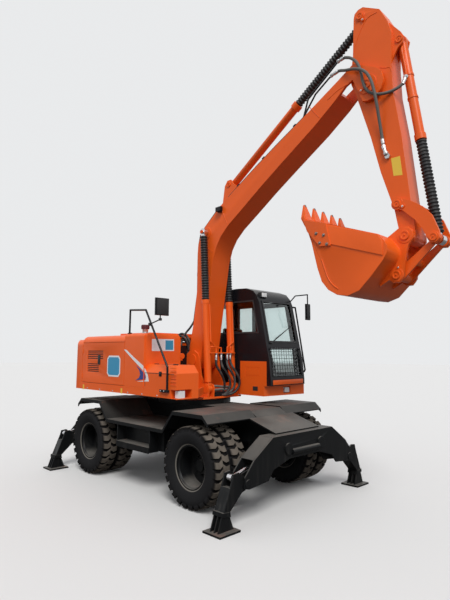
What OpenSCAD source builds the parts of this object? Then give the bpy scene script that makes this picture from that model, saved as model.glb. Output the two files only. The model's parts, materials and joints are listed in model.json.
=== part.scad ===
// Wheeled excavator, millimetres. X points forward, Y to the left, Z up.
// The origin is on the ground, on the axis the upper structure turns about.

/* [Running gear] */
// distance between the two axles
wheelbase = 2600; // [2400:10:2900]
// outside radius of a tyre
tyre_r = 526; // [480:1:560]
// width of one tyre
tyre_w = 275; // [240:1:300]
// distance of an outer tyre's middle from the centre line
outer_tyre_y = 1102; // [1050:1:1150]
// distance of an inner tyre's middle from the centre line
inner_tyre_y = 785; // [740:1:800]
// radius of the wheel disc at the tyre's bead
rim_r = 285; // [260:1:300]
// distance of a steering kingpin from the centre line
kingpin_y = 600; // [560:1:620]

/* [Chassis] */
// half width of the chassis frame
frame_half = 330; // [280:1:380]
// height of the deck and fenders
deck_z = 1216; // [1150:1:1260]
// half width over the fenders
fender_half = 1240; // [1180:1:1250]
// inner face of an outrigger crossbeam, beyond the axle
beam_gap = 720; // [680:1:760]
// depth of an outrigger crossbeam, front to back
beam_depth = 227; // [200:1:260]
// pivot of an outrigger leg: sideways
leg_y = 1117; // [1080:1:1150]
// pivot of an outrigger leg: height
leg_z = 484; // [460:1:520]
// eye of the leg cylinder's rod: sideways
leg_eye_y = 1286; // [1250:1:1320]
// eye of the leg cylinder's rod: height
leg_eye_z = 570; // [540:1:600]
// fixed pin of the leg cylinder: sideways
leg_base_y = 360; // [300:1:420]
// fixed pin of the leg cylinder: height
leg_base_z = 785; // [750:1:820]

/* [Upper structure] */
// half width of the upper body
body_half = 1245; // [1200:1:1250]
// underside of the body's skirt
skirt_z = 1378; // [1300:1:1400]
// top of the engine housing
hood_z = 2276; // [2200:1:2320]
// how far the tail's round face stands beyond the body's rear corners
tail_over = 149.4; // [100:1:200]
// front face of the counterweight
weight_x = -1560; // [-1650:1:-1450]
// front face of the fuel tank
tank_front_x = 301; // [260:1:340]
// inner side of the fuel tank, from the middle
tank_y = 552; // [500:1:600]
// front face of the tool box
box_front_x = 1048; // [1000:1:1100]
// inner side of the tool box, from the middle
box_y = 846; // [800:1:880]
// inner wall of the cab
cab_y0 = 346; // [340:1:380]
// outer wall of the cab
cab_y1 = 1215; // [1180:1:1240]
// rear wall of the cab
cab_rear_x = -214; // [-218:1:-150]

/* [Boom and arm] */
// half width of the boom
boom_half = 190; // [160:1:220]
// boom foot pin
foot = [200, 1890];
// pin between boom and arm
elbow = [3400, 5325];
// fixed pin of the boom cylinders
lift_base = [620, 1450];
// rod pin of the boom cylinders on the boom
lift_eye = [480, 3960];
// distance of a boom cylinder from the centre line
lift_y = 266; // [262:1:270]
// fixed pin of the arm cylinder on the boom
crowd_base = [885, 4705];
// rod pin of the arm cylinder on the arm
crowd_eye = [3298, 6317];
// fixed pin of the bucket cylinder on the arm
curl_base = [3780, 5790];
// pin that joins bucket cylinder, rocker and push link
curl_eye = [4118, 3270];
// rocker pin on the arm
rocker_pin = [3720, 3729];
// pin between arm and bucket
bucket_pin = [3804, 3340];
// pin between push link and bucket
push_pin = [3689, 2898];
// half width of the arm
arm_half = 130; // [110:1:145]
// half width of the bucket
bucket_half = 500; // [400:1:600]

/* [Hidden] */
$fn = 48;
half_base = wheelbase / 2;
beam_x = half_base + beam_gap;
// radius swept by the tail
tail_r = norm([weight_x - 6, body_half]) + tail_over;
orange = [0.93, 0.38, 0.13];
black = [0.13, 0.13, 0.14];
grey = [0.45, 0.45, 0.45];
chrome = [0.8, 0.8, 0.82];

// the sub-part to build, or all

// a flat shape in the X-Z plane, made solid from y0 to y1
module slab_y(points, y0, y1) {
  translate([0, y1, 0]) rotate([90, 0, 0]) linear_extrude(y1 - y0) polygon(points);
}

// a flat shape in the Y-Z plane, made solid from x0 to x1
module slab_x(points, x0, x1) {
  translate([x0, 0, 0]) rotate([90, 0, 90]) linear_extrude(x1 - x0) polygon(points);
}

// a box given by its two far corners
module block(a, b) {
  translate(a) cube([b[0] - a[0], b[1] - a[1], b[2] - a[2]]);
}

// a round pin along Y, at p in the X-Z plane, from y0 to y1
module pin_y(p, r, y0, y1) {
  translate([p[0], y1, p[1]]) rotate([90, 0, 0]) cylinder(h = y1 - y0, r = r);
}

// a round pin along X, at p in the Y-Z plane, from x0 to x1
module pin_x(p, r, x0, x1) {
  translate([x0, p[0], p[1]]) rotate([0, 90, 0]) cylinder(h = x1 - x0, r = r);
}

// a round bar between two points
module bar(a, b, r) {
  d = b - a;
  l = norm(d);
  translate(a) rotate([0, acos(d[2] / l), atan2(d[1], d[0])]) cylinder(h = l, r = r);
}

// a bent tube through a list of points
module tube(points, r) {
  for (i = [0 : len(points) - 2]) bar(points[i], points[i + 1], r);
  for (i = [1 : len(points) - 2]) translate(points[i]) sphere(r = r * 1.04);
}

// what stands along the line from a to b in the X-Z plane is drawn upright and turned
module along(a, b, y) {
  translate([a[0], y, a[1]]) rotate([0, 90 - atan2(b[1] - a[1], b[0] - a[0]), 0]) children();
}

function reach(a, b) = norm(b - a);

// the same shape on the right and on the left
module both_sides() {
  children();
  mirror([0, 1, 0]) children();
}

// Running gear

// half section of a tyre: radius, distance from its middle
module tyre(y) {
  w = tyre_w / 2;
  translate([0, y, tyre_r]) rotate([90, 0, 0]) rotate_extrude() polygon([
    [rim_r, -w + 42], [rim_r + 40, -w + 14], [rim_r + 120, -w], [tyre_r - 70, -w + 2], [tyre_r - 22, -w + 18],
    [tyre_r, -w + 46], [tyre_r, -10], [tyre_r - 16, -6], [tyre_r - 16, 6], [tyre_r, 10], [tyre_r, w - 46],
    [tyre_r - 22, w - 18], [tyre_r - 70, w - 2], [rim_r + 120, w], [rim_r + 40, w - 14], [rim_r, w - 42]]);
}

module tyre_pair(x) {
  color(black) translate([x, 0, 0]) {
    tyre(outer_tyre_y);
    tyre(inner_tyre_y);
  }
}

// two rims and their disc on one hub, by radius and distance from the centre line
module rim_pair(x) {
  o = outer_tyre_y;
  i = inner_tyre_y;
  w = tyre_w / 2 - 42;
  color(black) translate([x, 0, tyre_r]) rotate([-90, 0, 0]) {
    rotate_extrude() polygon([[rim_r, o + w], [rim_r, o - w], [rim_r - 31, o - w], [rim_r - 31, i + w],
      [rim_r, i + w], [rim_r, i - w], [rim_r - 34, i - w], [rim_r - 34, i + 150], [150, i + 150], [150, i - 2],
      [76, i - 2], [76, i + 139], [0, i + 139], [0, i + 252], [72, i + 252], [72, i + 218], [112, i + 218],
      [112, i + 167], [170, i + 167], [205, i + 176], [rim_r - 34, i + 176], [rim_r - 34, o + w - 34],
      [rim_r - 17, o + w - 16], [rim_r - 17, o + w]]);
    // wheel nuts
    for (a = [0 : 36 : 324]) rotate([0, 0, a]) translate([142, 0, i + 155]) cylinder(h = 36, r = 14);
  }
}

module knuckle() {
  color(black) difference() {
    union() {
      block([half_base - 90, kingpin_y - 45, tyre_r - 88], [half_base + 90, kingpin_y + 40, tyre_r + 88]);
      translate([half_base, kingpin_y + 40, tyre_r]) rotate([-90, 0, 0]) cylinder(h = 270, r = 75.6);
      block([half_base - 260, kingpin_y - 20, tyre_r - 20], [half_base - 80, kingpin_y + 20, tyre_r + 20]);
    }
    translate([half_base, kingpin_y, tyre_r - 90]) cylinder(h = 180, r = 34.4);
  }
}

module axles() {
  color(black) {
    // each row: place along X, 1 if steered
    for (a = [[half_base, 1], [-half_base, 0]]) translate([a[0], 0, tyre_r]) {
      rotate([90, 0, 0]) translate([0, 0, -500]) cylinder(h = 1000, r = 92);
      rotate([90, 0, 0]) rotate_extrude() polygon([[0, -170], [130, -150], [190, -60], [190, 60],
        [130, 150], [0, 170]]);
      if (a[1] == 1) both_sides() {
        block([-80, 470, -130], [80, 640, -94]);
        block([-80, 470, 94], [80, 640, 130]);
        block([-80, 440, -130], [80, 500, 130]);
        translate([0, kingpin_y, -130]) cylinder(h = 260, r = 34);
      } else both_sides() {
        rotate([-90, 0, 0]) translate([0, 0, 500]) cylinder(h = 120, r = 150);
        rotate([-90, 0, 0]) translate([0, 0, 500]) cylinder(h = 380, r = 75.6);
      }
      // seat under the frame
      block([-110, -210, 60], [110, 210, 239.7]);
    }
    // gearbox and propeller shafts
    block([-420, -170, 560], [120, 170, 765.7]);
    bar([110, 0, 620], [half_base - 150, 0, tyre_r + 20], 42);
    bar([-410, 0, 620], [-half_base + 150, 0, tyre_r + 20], 42);
  }
}

// Chassis

module chassis_frame() {
  color(black) {
    slab_y([[-1889.7, 800], [-1889.7, 940], [-1600, 1202], [1561, 1202], [1700, 1110], [2019.7, 990],
      [2019.7, 790], [1700, 766], [-1700, 766]], -frame_half + 2.3, frame_half - 2.3);
    // sloping nose plate over the crossbeam
    slab_y([[1680, 1100], [1680, 1125], [1700, 1116], [2140, 978], [2140, 962]], -480, 480);
    // swing bearing's lower ring
    translate([0, 0, 1200]) cylinder(h = 70, r = 600);
  }
}

// top line of the fenders and steps, from the rear to the front
fender_line = [[-1669, 1116], [-1561, deck_z], [-958, deck_z], [-714, 948], [743, 948], [958, deck_z],
  [1561, deck_z], [1669, 1116]];

module fenders() {
  n = len(fender_line);
  thick = [for (i = [n - 1 : -1 : 0]) fender_line[i] - [0, 14]];
  lip = [for (i = [n - 1 : -1 : 0]) fender_line[i] - [0, 52]];
  color(black) both_sides() {
    slab_y(concat(fender_line, thick), frame_half, fender_half);
    slab_y(concat(fender_line, lip), fender_half - 14, fender_half);
  }
}

// box between the wheels with a step on hangers
module side_steps() {
  color(black) both_sides() {
    block([-560, frame_half - 2, 590], [560, 1061, deck_z - 282.3]);
    // lower step and its hangers
    block([-417, 1061, 640], [438, fender_half, 656]);
    // each row: rear and front end of a hanger
    for (x = [[-417, -403], [424, 438]]) block([x[0], 1061, 580], [x[1], fender_half - 14.3, deck_z - 282.3]);
    block([-417, fender_half - 10, 570], [438, fender_half, 655]);
  }
}

// outline of a crossbeam's cheek, right half, from the top middle
cheek = [[0, 960], [658, 960], [1010, 736], [1172, 560], [1182, 440], [1098, 420], [749, 456],
  [650, 572], [326, 658], [0, 658]];

module outrigger_beam() {
  x = beam_x;
  right = [for (i = [len(cheek) - 1 : -1 : 0]) [-cheek[i][0], cheek[i][1]]];
  color(black) {
    slab_x(concat(cheek, right), x, x + 20);
    slab_x(concat(cheek, right), x + beam_depth - 20, x + beam_depth);
    // cover: top and both slopes
    slab_x([[-658, 960], [658, 960], [658, 944], [-658, 944]], x, x + beam_depth);
    both_sides() slab_x([[657, 960], [1010, 736], [1000, 722], [650, 944]], x, x + beam_depth);
    // wall between the two cylinders
    slab_x([[-20, 650], [20, 650], [20, 950], [-20, 950]], x, x + beam_depth);
    both_sides() {
      pin_x([leg_base_y, leg_base_z], 74, x + beam_depth - 24, x + beam_depth + 22);
      pin_x([leg_y, leg_z], 52, x - 10, x + 22);
      pin_x([leg_y, leg_z], 52, x + beam_depth - 22, x + beam_depth + 10);
      pin_x([leg_base_y, leg_base_z], 30, x + 10, x + beam_depth - 10);
      pin_x([leg_y, leg_z], 32, x + 10, x + beam_depth - 10);
    }
    // tube outside, between the two bosses
    translate([x + beam_depth + 12, 0, 742]) rotate([90, 0, 0]) translate([0, 0, -296]) cylinder(h = 592, r = 36);
  }
}

// place of a crossbeam's first cheek: front, then rear
function beam_at(front) = front ? beam_x : -beam_x + 130 - beam_depth;

// left-hand leg, drawn in the Y-Z plane
module leg(front) {
  x = beam_at(front);
  color(black) difference() {
    union() {
      // each row: where a cheek of the leg starts and ends, from the beam's first cheek
      for (c = [[34, 54], [173, 193]]) slab_x([[1082, 430], [1060, 500], [1100, 545], [1240, 632],
        [1330, 622], [1345, 560], [1480, 226], [1420, 190], [1190, 395]], x + c[0], x + c[1]);
      slab_x([[1190, 395], [1420, 190], [1490, 200], [1380, 478], [1300, 470], [1200, 430]], x + 40, x + 187);
      pin_x([leg_y, leg_z], 62, x + 30, x + 197);
      // foot: ankle plate, ribs and pad
      slab_x([[1380, 226], [1500, 236], [1505, 190], [1370, 170]], x + 30, x + 197);
      for (r = [46, 106, 166]) slab_x([[1382, 190], [1498, 200], [1560, 22], [1310, 22]], x + r, x + r + 15);
      block([x - 30, 1273, 0], [x + 257, 1600, 24]);
    }
    pin_x([leg_y, leg_z], 32.4, x, x + 230);
  }
}

module leg_barrel(front) {
  x = beam_at(front) + beam_depth / 2;
  color(black) difference() {
    union() {
      pin_x([leg_base_y, leg_base_z], 52, x - 40, x + 40);
      bar([x, leg_base_y, leg_base_z], leg_on_line(x, 520), 48);
      bar(leg_on_line(x, 470), leg_on_line(x, 524), 56);
    }
    pin_x([leg_base_y, leg_base_z], 30.4, x - 60, x + 60);
    bar(leg_on_line(x, 200), leg_on_line(x, 540), 25.4);
  }
}

// a point on the leg cylinder's axis, at a distance from its fixed pin
function leg_on_line(x, d) = [x,
  leg_base_y + (leg_eye_y - leg_base_y) * d / norm([leg_eye_y - leg_base_y, leg_eye_z - leg_base_z]),
  leg_base_z + (leg_eye_z - leg_base_z) * d / norm([leg_eye_y - leg_base_y, leg_eye_z - leg_base_z])];

module leg_rod(front) {
  x = beam_at(front) + beam_depth / 2;
  color(chrome) {
    bar(leg_on_line(x, 420), leg_on_line(x, 930), 25);
    pin_x([leg_eye_y, leg_eye_z], 44, x - 34, x + 34);
    pin_x([leg_eye_y, leg_eye_z], 24, x - 52, x + 52);
  }
}

// Upper structure

// plan outline of the deck: round the tail, the tool box, the open well and the cab
deck_plan = [[weight_x + 0.3, 1 - body_half], [box_front_x - 6, 1 - body_half], [box_front_x - 6, -box_y], [706, -434],
  [430, -434], [430, 336], [735, 336], [1240, 336], [1335, body_half - 1], [weight_x + 0.3, body_half - 1]];

module upper_frame() {
  color(orange) {
    // swing bearing's upper ring, base plate
    translate([0, 0, 1270.3]) cylinder(h = 40, r = 560);
    block([weight_x + 0.3, -434, 1300.3], [691, 400, 1326]);
    difference() {
      union() {
        translate([0, 0, 1392]) linear_extrude(32) polygon(deck_plan);
        // skirt along the right side
        block([weight_x + 0.3, -body_half, skirt_z], [box_front_x - 6, -body_half + 60, 1492]);
        // walls round the open well in front, and along the left side
        translate([0, 0, 1335]) linear_extrude(162) polygon([[500, 336], [1240, 336], [1335, body_half],
          [weight_x + 0.3, body_half], [weight_x + 0.3, body_half - 60], [1180, body_half - 60], [1140, 440],
          [500, 440]]);
        translate([0, 0, skirt_z]) linear_extrude(112) polygon([[box_front_x - 6.3, -box_y + 0.3], [706, -434],
          [672, -434], [box_front_x - 48, -box_y + 0.3]]);
      }
      // recesses of the two headlamps
      block([920, -body_half - 1, 1380], [1100, -972, 1500]);
      block([1236, 760, 1368], [1400, 925, 1470]);
    }
    // webs between base plate and deck
    both_sides() block([weight_x + 0.3, 400, 1320], [430, 434, 1400]);
    // box on the deck beside the cab, with an embossed field
    difference() {
      block([735, cab_y0 - 10, 1490], [1290, cab_y0 - 0.3, 1874]);
      difference() {
        block([846, cab_y0 - 11, 1640], [1160, cab_y0 - 6, 1778]);
        block([858, cab_y0 - 12, 1652], [1148, cab_y0 - 5, 1766]);
      }
    }
    // boom foot brackets with the lower lugs of the boom cylinders
    both_sides() {
      slab_y([[-330, 1320], [-330, 1560], [60, 1990], [130, 2035], [230, 2040], [320, 1990], [350, 1920],
        [400, 1640], [450, 1560], [500, 1320]], 197, 229);
      pin_y(foot, 88, 228, 240);
      // each row: inner and outer face of a lug
      for (l = [[201, 224], [308, 330]])
        slab_y([[440, 1320], [470, 1480], [560, 1526], [620, 1534], [680, 1510], [700, 1460], [690, 1320]],
          l[0], l[1]);
      pin_y(lift_base, 32, 210, 334);
      pin_y(lift_base, 60, 329, 335);
    }
    pin_y(foot, 55, -236, 236);
    // wall behind the well
    block([400, -434, 1320], [430, 434, 1424]);
    // rubber mounts of the cab
    for (x = [-120, 1100], y = [cab_y0 + 90, cab_y1 - 90]) translate([x, y, 1420]) cylinder(h = 79.7, r = 55);
    // engine bulkhead
    block([-236, -body_half + 30, 1420], [-222, body_half - 30, 2160]);
    // carrier of the hood's left hinge
    block([-236, hood_hinge_y[2], 2150], [-222, hood_hinge_y[2] + 40, hood_z + 9]);
    hood_knuckle(hood_hinge_y[2]);
  }
}

// body section across the machine: flat top with rounded shoulders
module shoulder_section(half, top, r, bottom) {
  difference() {
    polygon([[-half, bottom], [-half, top], [half, top], [half, bottom]]);
    // each row: 1 for the left shoulder, -1 for the right one
    for (s = [1, -1]) translate([s * (half - r), top - r]) difference() {
      polygon([[0, 0], [s * (r + 1), 0], [s * (r + 1), r + 1], [0, r + 1]]);
      circle(r = r);
    }
  }
}

module counterweight() {
  color(orange) both_sides() for (z = door_hinge_z) {
    translate([door_x0, body_half, z]) cylinder(h = 40, r = 9);
    block([weight_x - 6, body_half - 4, z], [door_x0, body_half + 4, z + 40]);
  }
  color(orange) intersection() {
    translate([0, 0, skirt_z]) cylinder(h = 900, r = tail_r, $fn = 96);
    translate([-tail_r - 150, 0, 0]) rotate([90, 0, 90]) linear_extrude(tail_r + 150 + weight_x)
      shoulder_section(body_half, hood_z - 50, 110, skirt_z);
    slab_y([[weight_x, skirt_z], [weight_x, hood_z - 16], [-tail_r + 250, hood_z - 50], [-tail_r + 90, hood_z - 96],
      [-tail_r + 10, hood_z - 196], [-tail_r - 20, hood_z - 376], [-tail_r - 20, skirt_z + 102],
      [-tail_r + 50, skirt_z]], -body_half - 55, body_half + 55);
  }
}

// right end of each hinge of the hood: two on the tank, one on the bulkhead
hood_hinge_y = [-1080, -700, 600];

// fixed half of a hinge of the hood
module hood_knuckle(y) {
  pin_y([-246, hood_z], 9, y, y + 40);
  block([-246, y, hood_z - 9], [-228, y + 40, hood_z + 9]);
}

// hood: the lid over the engine, hinged at its front edge
module engine_hood() {
  color(orange) {
    difference() {
      translate([weight_x + 10, 0, 0]) rotate([90, 0, 90]) linear_extrude(-246 - weight_x - 10)
        shoulder_section(body_half, hood_z, 110, 2168);
      translate([weight_x - 1, 0, 0]) rotate([90, 0, 90]) linear_extrude(1400)
        shoulder_section(body_half - 24, hood_z - 24, 90, 2100);
      for (y = hood_hinge_y) pin_y([-246, hood_z], 11, y - 1, y + 41);
    }
    for (y = hood_hinge_y) pin_y([-246, hood_z], 9, y + 40.3, y + 80);
  }
  color(black) {
    // raised air intake with slots
    difference() {
      block([-1330, -640, hood_z - 2], [-420, 640, hood_z + 62]);
      for (x = [-1290 : 80 : -480]) block([x, -600, hood_z + 40], [x + 36, 600, hood_z + 63]);
    }
    // exhaust stack
    translate([-760, 860, hood_z - 2]) cylinder(h = 300, r = 52);
  }
}

module engine_block() {
  color(grey) block([-1400, -420, 1424.3], [-520, 420, 2080]);
}

// side door outline, from the rear to the front
door_x0 = weight_x + 10;
door_x1 = -242;
// foot of each hinge
door_hinge_z = [1560, 1980];

module side_door(side) {
  y0 = body_half - 24;
  mirror([0, side < 0 ? 1 : 0, 0]) color(orange) {
    difference() {
      block([door_x0, y0, 1498], [door_x1, body_half, 2162]);
      // each row: rear end, front end, lower edge, upper edge of a louvre window
      for (w = [[-1381, -874, 1894, 2059], [-1380, -1003, 1679, 1820]])
        for (z = [w[2] : 30 : w[3] - 20]) block([w[0], y0 + 10, z], [w[1], body_half + 1, z + 16]);
      for (z = door_hinge_z) translate([door_x0, body_half, z - 1]) cylinder(h = 42, r = 11);
    }
    for (z = door_hinge_z) translate([door_x0, body_half, z + 40.3]) cylinder(h = 40, r = 9);
  }
}

// fuel tank between the engine door and the front, seen from the front
module tank_section(inset) {
  difference() {
    polygon([[-body_half + inset, 1492.3 + inset], [-body_half + 60.3, 1492.3 + inset], [-body_half + 60.3, 1424.3],
      [-tank_y - inset, 1424.3], [-tank_y - inset, hood_z + 16 - inset], [-body_half + inset, hood_z + 16 - inset]]);
    // each row: corner of the section, which way it turns, its radius
    for (c = [[-tank_y - inset, 1, 96 - inset], [-body_half + inset, -1, 56 - inset]])
      translate([c[0] - c[1] * c[2], hood_z + 16 - inset - c[2]]) difference() {
        polygon([[0, 0], [c[1] * (c[2] + 1), 0], [c[1] * (c[2] + 1), c[2] + 1], [0, c[2] + 1]]);
        circle(r = c[2]);
      }
  }
}

module fuel_tank() {
  color(orange) {
    difference() {
      translate([-234, 0, 0]) rotate([90, 0, 90]) linear_extrude(tank_front_x - 22 + 234) tank_section(0);
      // room for the engine bulkhead
      block([-240, -body_half + 29.7, 1400], [-221.7, body_half, 2160.3]);
    }
    // front plate with its fold
    translate([tank_front_x - 24, 0, 0]) rotate([90, 0, 90]) linear_extrude(12) tank_section(6);
    translate([tank_front_x - 14, 0, 0]) rotate([90, 0, 90]) linear_extrude(14) tank_section(18);
    // bracket on its front corner
    block([tank_front_x - 160, -tank_y - 4, 1880], [tank_front_x - 40, -tank_y + 60, 1980]);
    pin_x([-tank_y + 50, 1950], 44, tank_front_x - 160, tank_front_x - 30);
    for (i = [0, 1]) hood_knuckle(hood_hinge_y[i]);
    // filler neck
    translate([42, -1063, hood_z]) cylinder(h = 90, r = 40);
  }
  color(black) {
    translate([42, -1063, hood_z + 86]) cylinder(h = 66, r = 58);
  }
}

// tool box in front of the tank, its top edges folded inward
module tool_box() {
  y0 = -body_half;
  x1 = box_front_x;
  color(orange) difference() {
    intersection() {
      slab_y([[tank_front_x + 0.5, skirt_z - 6], [tank_front_x + 0.5, 1836], [x1 - 96, 1830], [x1, 1718], [x1, skirt_z - 6]],
        y0, -box_y);
      slab_x([[y0, skirt_z - 6], [y0, 1718], [y0 + 76, 1840], [-box_y, 1840], [-box_y, skirt_z - 6]],
        tank_front_x, x1 + 1);
    }
    // seam under the lid
    block([620, y0 - 1, 1829], [960, -box_y + 1, 1833]);
    // corner recess of the headlamp and the slots in the side
    block([920, y0 - 1, 1385], [x1 + 1, -972, 1500]);
    for (z = [1572, 1602, 1632, 1662]) block([908, y0 - 1, z], [1030, y0 + 8, z + 12]);
    // room for the deck and its skirt
    block([200, y0 - 1, skirt_z - 7], [x1 - 5.7, y0 + 60.3, 1492.3]);
    block([200, y0 + 60, 1391.7], [x1 - 5.7, -box_y + 1, 1424.3]);
  }
}

// covers behind the boom's foot
module body_panels() {
  color(black) {
    block([-221.7, -400, 1424.3], [60, -240, 2120]);
    block([-221.7, -190, 1424.3], [-60, 190, 1980]);
    // block where the boom cylinders' hoses end
    block([560, -170, 1326.3], [680, 60, 1402]);
  }
}

// outline of the cab seen from the right, from the lower rear corner
cab_line = [[cab_rear_x, 1500], [1372, 1500], [1372, 1590], [1341, 1898], [1281, 2150], [1245, 2321],
  [1139, 2813], [1097, 2913], [1010, 3010], [860, 3062], [640, 3072], [-170, 3054], [cab_rear_x, 2990]];
cab_inner = [[cab_rear_x + 40, 1540], [1330, 1540], [1300, 1898], [1240, 2150], [1204, 2321],
  [1098, 2813], [1056, 2895], [980, 2970], [850, 3012], [640, 3022], [-140, 3004], [cab_rear_x + 40, 2960]];
side_window = [[-120, 2330], [1120, 2330], [1010, 2850], [-120, 2850]];

module cab_shell() {
  color(black) difference() {
    slab_y(cab_line, cab_y0, cab_y1);
    slab_y(cab_inner, cab_y0 + 40, cab_y1 - 40);
    // window in the right wall
    slab_y(side_window, cab_y0 - 1, cab_y0 + 41);
    // windscreen, lower front window, rear window
    block([1000, cab_y0 + 75, 2180], [1400, cab_y1 - 75, 2840]);
    block([1200, cab_y0 + 75, 1650], [1400, cab_y1 - 75, 2090]);
    block([cab_rear_x - 1, cab_y0 + 90, 2330], [cab_rear_x + 41, cab_y1 - 90, 2840]);
    // door opening and left rear window
    slab_y([[330, 1560], [1290, 1560], [1262, 1898], [1204, 2150], [1168, 2321], [1060, 2813], [1030, 2900],
      [330, 2900]], cab_y1 - 41, cab_y1 + 1);
    slab_y([[-120, 2100], [240, 2100], [240, 2850], [-120, 2850]], cab_y1 - 41, cab_y1 + 1);
    for (z = cab_hinge_z) translate([338, cab_y1 + 4, z + 49.8]) cylinder(h = 52, r = 14);
  }
  color(black) cab_screen();
  color(black) for (z = cab_hinge_z) {
    translate([338, cab_y1 + 4, z]) cylinder(h = 50, r = 12);
    block([300, cab_y1 - 2, z], [338, cab_y1 + 8, z + 50]);
  }
}

// foot of each hinge of the cab door
cab_hinge_z = [1700, 2660];

// wire screen before the lower front window
module cab_screen() {
  foot_line = [1366, 1640];
  head_line = [1320, 2090];
  height = reach(foot_line, head_line);
  along(foot_line, head_line, 0) {
    for (y = [cab_y0 + 60 : 62 : cab_y1 - 60]) translate([6, y - 3, 0]) cube([6, 6, height]);
    for (z = [0 : 56 : height]) translate([2, cab_y0 + 50, z - 3]) cube([6, cab_y1 - cab_y0 - 100, 6]);
    // feet on the window frame
    for (y = [cab_y0 + 50, cab_y1 - 70], z = [20, 420]) translate([-60, y, z]) cube([64, 20, 20]);
  }
}

module cab_door() {
  color(black) difference() {
    slab_y([[338, 1568], [1282, 1568], [1254, 1898], [1196, 2150], [1160, 2321], [1053, 2809], [1025, 2892],
      [338, 2892]], cab_y1 - 36, cab_y1 + 4);
    slab_y([[410, 2160], [1120, 2160], [990, 2820], [410, 2820]], cab_y1 - 37, cab_y1 + 5);
    slab_y([[410, 1660], [1180, 1660], [1140, 2080], [410, 2080]], cab_y1 - 37, cab_y1 + 5);
    for (z = cab_hinge_z) translate([338, cab_y1 + 4, z - 1]) cylinder(h = 52, r = 14);
  }
  color(black) for (z = cab_hinge_z) translate([338, cab_y1 + 4, z + 50.3]) cylinder(h = 50, r = 12);
}

module cab_door_glass() {
  color(grey) {
    slab_y([[410, 2160], [1120, 2160], [990, 2820], [410, 2820]], cab_y1 - 20, cab_y1 - 14);
    slab_y([[410, 1660], [1180, 1660], [1140, 2080], [410, 2080]], cab_y1 - 20, cab_y1 - 14);
  }
}

module cab_glass() {
  color(grey) {
    slab_y(side_window, cab_y0 + 16, cab_y0 + 22);
    slab_y([[1258, 2180], [1264, 2180], [1122, 2840], [1116, 2840]], cab_y0 + 75, cab_y1 - 75);
    slab_y([[1344, 1650], [1350, 1650], [1307, 1976], [1281, 2090], [1275, 2090], [1301, 1976]],
      cab_y0 + 75, cab_y1 - 75);
    block([cab_rear_x + 16, cab_y0 + 90, 2330], [cab_rear_x + 22, cab_y1 - 90, 2840]);
    slab_y([[-120, 2100], [240, 2100], [240, 2850], [-120, 2850]], cab_y1 - 20, cab_y1 - 14);
  }
}

module cab_interior() {
  color(black) {
    // seat: base, cushion, back
    block([180, 600, 1540.3], [560, 940, 1760]);
    block([140, 530, 1760], [680, 1010, 1900]);
    slab_y([[60, 1860], [190, 1860], [130, 2480], [10, 2480]], 550, 990);
    // side consoles and steering column
    block([150, 400, 1540.3], [720, 510, 2010]);
    block([150, 1030, 1540.3], [640, 1130, 2010]);
    block([1070, 710, 1540.3], [1190, 830, 1580]);
    bar([1130, 770, 1575], [950, 770, 2110], 40);
    translate([950, 770, 2100]) rotate([0, -18, 0]) cylinder(h = 30, r = 190);
  }
}

// outer rail's distance from the middle, on the right
rail_y = -body_half - 19;

module handrails() {
  color(black) {
    // rail round the tank, from its front foot over to the hood
    tube([[871, rail_y, 1480], [871, rail_y, 1806], [332, rail_y, 2629], [-190, rail_y + 74, 2664],
      [-195, rail_y + 74, hood_z + 20]], 15);
    block([720, rail_y - 17, 1458], [900, -body_half - 0.3, 1494]);
    block([-222, rail_y + 54, hood_z + 16.4], [-168, rail_y + 104, hood_z + 30]);
    // grab rail beside the cab's front corner
    tube([[1105, cab_y1 + 0.3, 2796], [1105, cab_y1 + 47, 2796], [1160, cab_y1 + 51, 2786],
      [1349, cab_y1 + 51, 1730], [1335, cab_y1 + 47, 1700],
      [1335, cab_y1 + 0.3, 1700]], 14);
  }
}

module mirrors() {
  color(black) {
    // right mirror on the rail
    tube([[470, rail_y - 24.4, 2412], [717, rail_y - 24.4, 2470], [717, rail_y - 24.4, 2600]], 9);
    block([700, rail_y - 111, 2527], [734, rail_y + 114, 2775]);
    // left mirror on its loop
    tube([[1060, cab_y1 + 0.3, 2880], [1060, cab_y1 + 25, 2880], [1180, cab_y1 + 30, 2987],
      [1434, cab_y1 + 30, 2987], [1434, cab_y1 + 30, 2800]], 10);
    block([1420, cab_y1 - 25, 2558], [1448, cab_y1 + 85, 2828]);
  }
}

module lamps() {
  color(chrome) {
    block([958, -1192, 1385.3], [1036, -1084, 1484]);
    block([1236.3, 792, 1380], [1296, 900, 1456]);
  }
}

// Boom

boom_line = [[50, 2000], [40, 1900], [75, 1790], [150, 1735], [240, 1732], [320, 1780], [360, 1870],
  [395, 2150], [436, 2407], [545, 3048], [620, 3480], [700, 3700], [800, 3850], [960, 3995], [1330, 4240],
  [1640, 4450], [2060, 4715], [2600, 5050], [2930, 5285], [3100, 5430], [3200, 5470], [3330, 5130], [3400, 5112],
  [3500, 5130], [3580, 5200], [3612, 5310], [3590, 5420], [3520, 5500], [3215, 5680], [2992, 5550],
  [2412, 5238], [1926, 4990], [1536, 4780], [864, 4400], [698, 4281], [426, 4074], [330, 3960], [262, 3800],
  [250, 3663], [246, 3038], [167, 2495]];

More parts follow.
